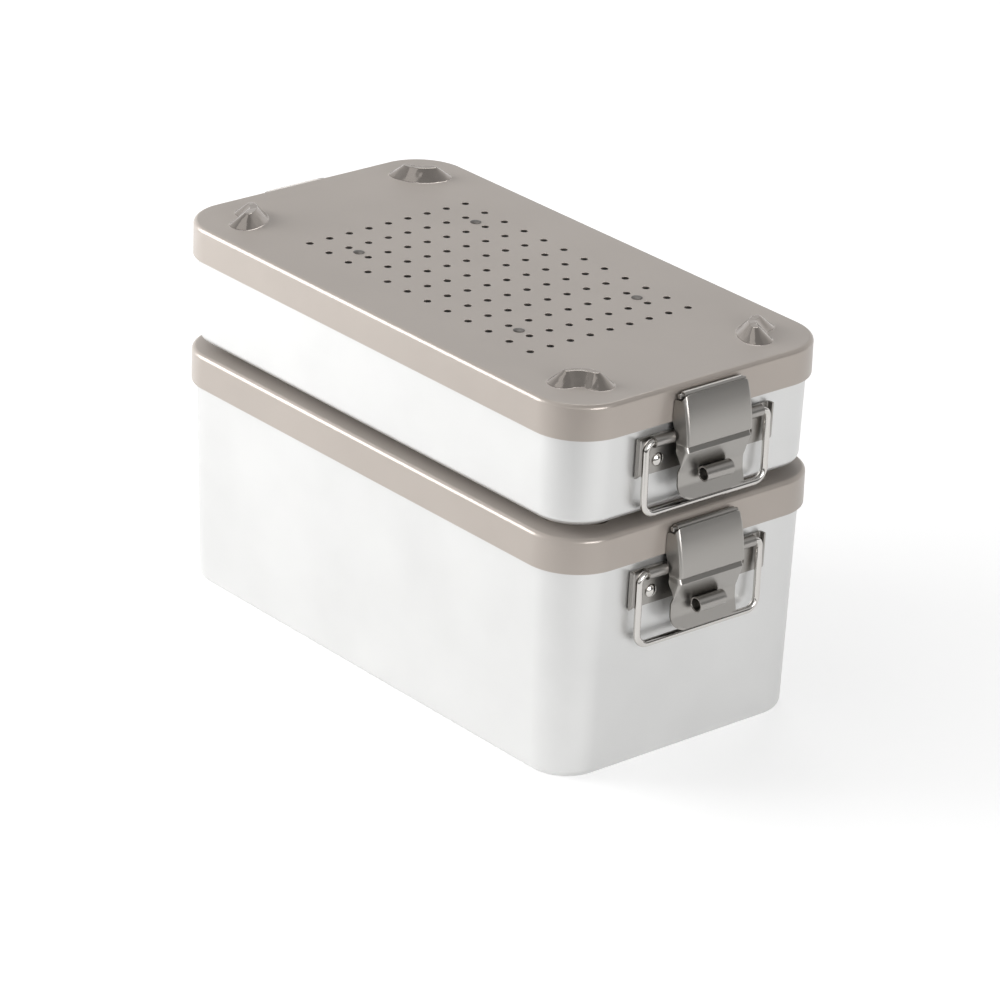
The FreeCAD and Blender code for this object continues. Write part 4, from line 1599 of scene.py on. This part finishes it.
    def loop_rows(self) -> np.ndarray:
        """Draws the tube on the tab for a paper seal or tag, with a lip at both mouths.

        A section of (place along Y, radius) is turned about the tube's axis.

        Returns:
            Grid of points, one row for each point of the section.
        """
        module = self.module
        x = module.outline.half_x + self.loop_out
        z = module.top - self.loop_depth
        bore, half = self.loop_r - self.loop_wall, self.loop_half_length
        mouth = half - self.loop_mouth
        right = [
            (0.0, bore), (mouth, bore), (half, bore + self.loop_lip),
            (half, self.loop_r + self.loop_lip), (mouth, self.loop_r), (0.0, self.loop_r),
        ]
        section = right + [(-y, r) for y, r in right[-2::-1]]
        angle = np.linspace(0, 2 * math.pi, self.loop_sides + 1)
        rows = [
            np.column_stack([
                x + r * np.cos(angle),
                np.full(len(angle), (y + self.loop_shift) * self.end.value),
                z + r * np.sin(angle),
            ])
            for y, r in section
        ]
        return self.side(np.stack(rows))

    def build(self, shop: Workshop) -> None:
        """Adds the flap and its seal loop to the scene.

        Args:
            shop: Workshop that makes the pieces.
        """
        latch = self.node("latch")
        shop.add(
            latch, Draft().grid(self.side(self.rows())), latch, Slot.STAINLESS,
            Edging(sheet=self.sheet, bevel=0.3, bevel_angle=55), self.behind(),
        )
        shop.add(
            f"{latch}_seal_loop", Draft().grid(self.loop_rows()), latch, Slot.STAINLESS,
            Edging(bevel=0.15, bevel_angle=50), is_node=False,
        )


@dataclass(frozen=True)
class LatchHinge(EndFitting):
    """Hinge plate on the lid skirt and the pin that the flap turns on."""

    pin_dia: float = 2.4
    pin_depth: float = 4.4
    sheet: float = 0.8
    knuckle_dia: float = 4.2
    roll_turn: float = 320.0
    half_width: float = 17.6
    bottom: float = 14.4
    pin_chamfer: float = 0.3

    def build(self, shop: Workshop) -> None:
        """Adds the hinge plate and the pin to the scene.

        Args:
            shop: Workshop that makes the pieces.
        """
        module = self.module
        skirt = module.outline.half_x
        z = module.top - self.pin_depth
        centre = (skirt + self.sheet + self.knuckle_dia / 2, z)
        radius = self.pin_dia / 2
        wall = self.knuckle_dia / 2 - radius
        leaf_x = skirt + self.sheet / 2
        foot = (leaf_x, module.top - self.bottom)
        roll = rolled_path(foot, centre, radius + wall / 2, self.roll_turn)
        roll = np.insert(roll, 1, (leaf_x, z - self.knuckle_dia / 2), axis=0)
        rows = self.side(across(roll, -self.half_width, self.half_width))
        shop.add(
            self.node("latch_hinge"), Draft().grid(rows), module.node("lid"), Slot.STAINLESS,
            Edging(sheet=self.sheet, sheet_side=0.0, bevel=0.1), self.behind(),
        )
        span = module.span(f"{self.end.word}_latch_pin")
        low, high = float(span[0][1]), float(span[1][1])
        line = [
            (0.0, 0.0), (radius - self.pin_chamfer, 0.0), (radius, self.pin_chamfer),
            (radius, high - low - self.pin_chamfer), (radius - self.pin_chamfer, high - low),
            (0.0, high - low),
        ]
        base = (self.end.value * centre[0], low, centre[1])
        pin = Draft().grid(turned_rows(line, base, ALONG_Y), wrap=True)
        shop.add(self.node("latch_pin"), pin, module.node("lid"), Slot.STAINLESS)


@dataclass(frozen=True)
class RivetKind:
    """Sizes of one kind of rivet, and the node and body that it belongs to."""

    node: str
    body: str
    y: float
    depth: float
    head: float
    dome: float
    tail: float
    sheet: float


@dataclass(frozen=True)
class Rivets:
    """Rivets of both brackets and of both hinge plates of a container."""

    module: Module
    bracket: RivetKind = RivetKind("bracket_rivets", "tub", 26.6, 34.7, 6.6, 1.7, 1.7, 1.2)
    hinge: RivetKind = RivetKind("hinge_rivets", "lid", 10.0, 11.2, 4.6, 1.1, 0.5, 0.8)
    sharp_angle: float = 60.0

    def build(self, shop: Workshop) -> None:
        """Adds both groups of rivets, a head on each face of the sheets they join.

        Args:
            shop: Workshop that makes the pieces.
        """
        module = self.module
        wall = module.wall_x(module.top - self.bracket.depth)
        for kind, face, carrier in (
            (self.bracket, wall, module.tub_sheet),
            (self.hinge, module.outline.half_x, module.lid_sheet),
        ):
            made = Draft()
            z = module.top - kind.depth
            for end in End:
                out = Vector((end.value, 0, 0))
                for y in (-kind.y, kind.y):
                    near = (end.value * (face + kind.sheet), y, z)
                    far = (end.value * (face - carrier), y, z)
                    made.grid(dome_rows(kind.head / 2, kind.dome, near, out), wrap=True)
                    made.grid(dome_rows(kind.head / 2, kind.tail, far, -out), wrap=True)
            shop.add(
                module.node(kind.node), made, module.node(kind.body), Slot.STAINLESS,
                Edging(sharp_angle=self.sharp_angle), local=Local.WIRE,
            )


@dataclass(frozen=True)
class Container:
    """One container with everything on it."""

    name: str

    def build(self, shop: Workshop) -> None:
        """Adds all pieces of the container to the scene.

        Args:
            shop: Workshop that makes the pieces.
        """
        module = Module(self.name)
        lid = Lid(module)
        for piece in (lid, Tub(module), Seal(module), FilterHolder(module, lid), Rivets(module)):
            piece.build(shop)
        for end in End:
            for fitting in (Bracket, Handle, Latch, LatchHinge):
                fitting(module, end).build(shop)
        LOG.info("container %s is built", self.name)


# Studio


@dataclass(frozen=True)
class Softbox:
    """A square lamp that looks at the middle of the containers."""

    name: str
    place: Place
    size: float
    power: float
    target: Place = (0, 0, 0.09)

    def build(self) -> None:
        """Adds the lamp."""
        data = bpy.data.lights.new(self.name, "AREA")
        data.shape = "SQUARE"
        data.size = self.size
        data.energy = self.power
        lamp = put_in_scene(self.name, data)
        lamp.location = self.place
        aim = Vector(self.target) - Vector(self.place)
        lamp.rotation_euler = aim.to_track_quat("-Z", "Y").to_euler()


@dataclass(frozen=True)
class Studio:
    """White sweep, soft lamps and the camera at the photograph's angle, in metres."""

    floor_colour: str = "#D2D2D2"
    paper_roughness: float = 0.9
    paper_specular: float = 0.1
    azimuth: float = 49.67
    elevation: float = 23.90
    roll: float = 2.24
    camera: Place = (1.719389, -1.452258, 1.069374)
    focal_px: float = 5144.5
    frame_px: float = 1000.0
    sensor: float = 36.0
    sky_light: float = 0.1
    window_light: float = 1.05
    window_side: Place = (-0.72, -0.64, 0.27)
    window_from: float = 0.0
    open_side: Place = (0.76, 0.65, 0.0)
    open_depth: float = 0.85
    open_from: float = 0.75
    open_to: float = 0.97
    fade_from: float = 0.2
    fade_to: float = 0.9
    fade_depth: float = 0.6
    floor_reach: float = 6.0
    floor_lift: float = 0.55
    far_lift: float = 0.92
    far_from: float = 0.5
    far_to: float = 2.2
    # The floor's near edge is painted black to glossy rays only: a painted dark reflection.
    sweep_from: float = 0.42
    sweep_to: float = 0.66
    sweep_depth: float = 0.9
    lamps: tuple[Softbox, ...] = (
        Softbox("window_softbox", (-1.02, -0.90, 0.50), 0.9, 16.0),
        Softbox("side_softbox", (1.35, -0.15, 0.45), 0.6, 7.2),
        Softbox("top_softbox", (-0.25, -0.35, 1.50), 0.8, 1.0),
        Softbox("back_softbox", (-0.35, 0.45, 0.90), 0.4, 1.5),
    )

    def build(self) -> None:
        """Adds the floor, the lamps, the world and the camera."""
        self.floor()
        self.world()
        for lamp in self.lamps:
            lamp.build()
        self.aim_camera()
        bpy.context.scene.view_settings.view_transform = "Standard"

    def floor(self) -> None:
        """Flat pale floor, shown white to the camera and in reflections.

        Its glow rises from floor_lift to far_lift with the distance from the middle,
        because less light reaches it there. The near edge is painted black to glossy rays
        only, a painted dark reflection: there it neither glows nor reflects.
        """
        mesh = bpy.data.meshes.new("floor")
        corners = [(x * self.floor_reach, y * self.floor_reach, 0) for x, y in CORNERS]
        mesh.from_pydata(corners, [], [(2, 3, 0, 1)])
        floor = put_in_scene("floor", mesh)
        material = bpy.data.materials.new("white_paper_sweep")
        material.use_nodes = True
        tree = material.node_tree
        shader = tree.nodes["Principled BSDF"]
        shader.inputs["Roughness"].default_value = self.paper_roughness
        shader.inputs["Specular IOR Level"].default_value = self.paper_specular
        place = add_node(tree, "ShaderNodeTexCoord").outputs["Object"]
        reached = add_node(
            tree, "ShaderNodeVectorMath", {0: place}, operation="LENGTH",
        ).outputs["Value"]
        lift = add_node(
            tree, "ShaderNodeMapRange", {"Value": reached},
            in_From_Min=self.far_from, in_From_Max=self.far_to,
            in_To_Min=self.floor_lift, in_To_Max=self.far_lift,
        ).outputs["Result"]
        glow = add_node(
            tree, "ShaderNodeMath", {0: self.seen(tree), 1: lift}, operation="MULTIPLY",
        ).outputs[0]
        # Painted dark reflection: the near edge turns black to glossy rays only.
        near = self.near_edge(tree)
        base_with_painted_dark = add_node(
            tree, "ShaderNodeMix", {"Factor": near}, data_type="RGBA",
            in_6=linear(self.floor_colour), in_7=BLACK,
        ).outputs[2]
        left = add_node(
            tree, "ShaderNodeMath", {1: near}, operation="SUBTRACT", in_0=1.0,
        ).outputs[0]
        glow = add_node(
            tree, "ShaderNodeMath", {0: glow, 1: left}, operation="MULTIPLY",
        ).outputs[0]
        shader.inputs["Emission Color"].default_value = WHITE
        tree.links.new(base_with_painted_dark, shader.inputs["Base Color"])
        tree.links.new(glow, shader.inputs["Emission Strength"])
        floor.data.materials.append(material)

    def towards(
        self, tree: bpy.types.NodeTree, place: bpy.types.NodeSocket, side: Place,
        span: Pair, values: Pair,
    ) -> bpy.types.NodeSocket:
        """Adds the nodes for a value that changes smoothly towards one side.

        It goes from the first to the second value where the dot product of place and
        side goes from the first to the second number of span.

        Args:
            tree: Node tree that gets the nodes.
            place: Place or direction that is looked at.
            side: Direction of the side.
            span: Where the change starts and ends.
            values: Value before and after it.

        Returns:
            The value.
        """
        facing = add_node(
            tree, "ShaderNodeVectorMath", {0: place}, operation="DOT_PRODUCT", in_1=side,
        ).outputs["Value"]
        return add_node(
            tree, "ShaderNodeMapRange", {"Value": facing}, interpolation_type="SMOOTHSTEP",
            in_From_Min=span[0], in_From_Max=span[1],
            in_To_Min=values[0], in_To_Max=values[1],
        ).outputs["Result"]

    def near_edge(self, tree: bpy.types.NodeTree) -> bpy.types.NodeSocket:
        """Adds the nodes for a painted dark reflection at the near edge of the sweep.

        The painted darkness rises to sweep_depth with the distance from the middle
        towards the camera, from sweep_from to sweep_to. Only reflections
        show it: the floor is painted black to glossy rays there.

        Args:
            tree: Node tree of the floor.

        Returns:
            A value from 0 on the sweep to sweep_depth where the painted dark is full.
        """
        place = add_node(tree, "ShaderNodeTexCoord").outputs["Object"]
        angle = math.radians(self.azimuth)
        dark = self.towards(
            tree, place, (math.sin(angle), -math.cos(angle), 0.0),
            (self.sweep_from, self.sweep_to), (0.0, self.sweep_depth),
        )
        path = add_node(tree, "ShaderNodeLightPath")
        return add_node(
            tree, "ShaderNodeMath", {0: dark, 1: path.outputs["Is Glossy Ray"]},
            operation="MULTIPLY",
        ).outputs[0]

    def seen(self, tree: bpy.types.NodeTree) -> bpy.types.NodeSocket:
        """Adds the nodes that tell when the background itself is seen.

        Args:
            tree: Node tree of the floor or the world.

        Returns:
            A value of 1 for camera, reflected and transmitted rays, else 0.
        """
        path = add_node(tree, "ShaderNodeLightPath")
        mirrored = add_node(
            tree, "ShaderNodeMath",
            {0: path.outputs["Is Glossy Ray"], 1: path.outputs["Is Transmission Ray"]},
            operation="MAXIMUM",
        ).outputs[0]
        return add_node(
            tree, "ShaderNodeMath", {0: path.outputs["Is Camera Ray"], 1: mirrored},
            operation="MAXIMUM",
        ).outputs[0]

    def world(self) -> None:
        """White studio walls where they are seen, and soft daylight from one side.

        The walls fall by open_depth towards the open side of the studio, and by
        fade_depth towards the ceiling. The light on the containers rises from sky_light
        to window_light towards the window.
        """
        world = bpy.data.worlds.new("studio")
        bpy.context.scene.world = world
        world.use_nodes = True
        tree = world.node_tree
        background = tree.nodes["Background"]
        way = add_node(tree, "ShaderNodeTexCoord").outputs["Generated"]
        walls = self.towards(
            tree, way, self.open_side,
            (self.open_from, self.open_to), (1.0, 1 - self.open_depth),
        )
        height = add_node(tree, "ShaderNodeSeparateXYZ", {"Vector": way}).outputs["Z"]
        ceiling = add_node(
            tree, "ShaderNodeMapRange", {"Value": height},
            in_From_Min=self.fade_from, in_From_Max=self.fade_to,
            in_To_Min=1.0, in_To_Max=1 - self.fade_depth,
        ).outputs["Result"]
        walls = add_node(
            tree, "ShaderNodeMath", {0: walls, 1: ceiling}, operation="MULTIPLY",
        ).outputs[0]
        daylight = self.towards(
            tree, way, self.window_side,
            (self.window_from, 1.0), (self.sky_light, self.window_light),
        )
        mix = add_node(
            tree, "ShaderNodeMix", {"Factor": self.seen(tree), "A": daylight, "B": walls},
            data_type="FLOAT",
        )
        tree.links.new(mix.outputs[0], background.inputs["Strength"])
        background.inputs["Color"].default_value = WHITE

    def aim_camera(self) -> None:
        """Puts the camera where the lid outlines say that it stood.

        Azimuth and elevation give the direction back to the camera, and right and up are
        turned about it by the roll.
        """
        az, el, roll = (math.radians(v) for v in (self.azimuth, self.elevation, self.roll))
        back = Vector((math.sin(az) * math.cos(el), -math.cos(az) * math.cos(el), math.sin(el)))
        right = Vector((math.cos(az), math.sin(az), 0))
        up = back.cross(right)
        tilted_right = right * math.cos(roll) + up * math.sin(roll)
        tilted_up = up * math.cos(roll) - right * math.sin(roll)
        data = bpy.data.cameras.new("camera")
        data.sensor_width = self.sensor
        data.lens = self.focal_px / self.frame_px * self.sensor
        data.clip_start = 0.05
        data.clip_end = 50
        eye = put_in_scene("camera", data)
        turn = Matrix((tilted_right, tilted_up, back)).transposed().to_4x4()
        eye.matrix_world = Matrix.Translation(self.camera) @ turn
        bpy.context.scene.camera = eye


def main() -> None:
    """Builds the studio and both containers."""
    logging.basicConfig(level=logging.INFO, format="%(message)s")
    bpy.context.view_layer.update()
    shop = Workshop()
    Studio().build()
    for name in ("lower", "upper"):
        Container(name).build(shop)
    bpy.context.view_layer.update()


if __name__ == "__main__":
    main()
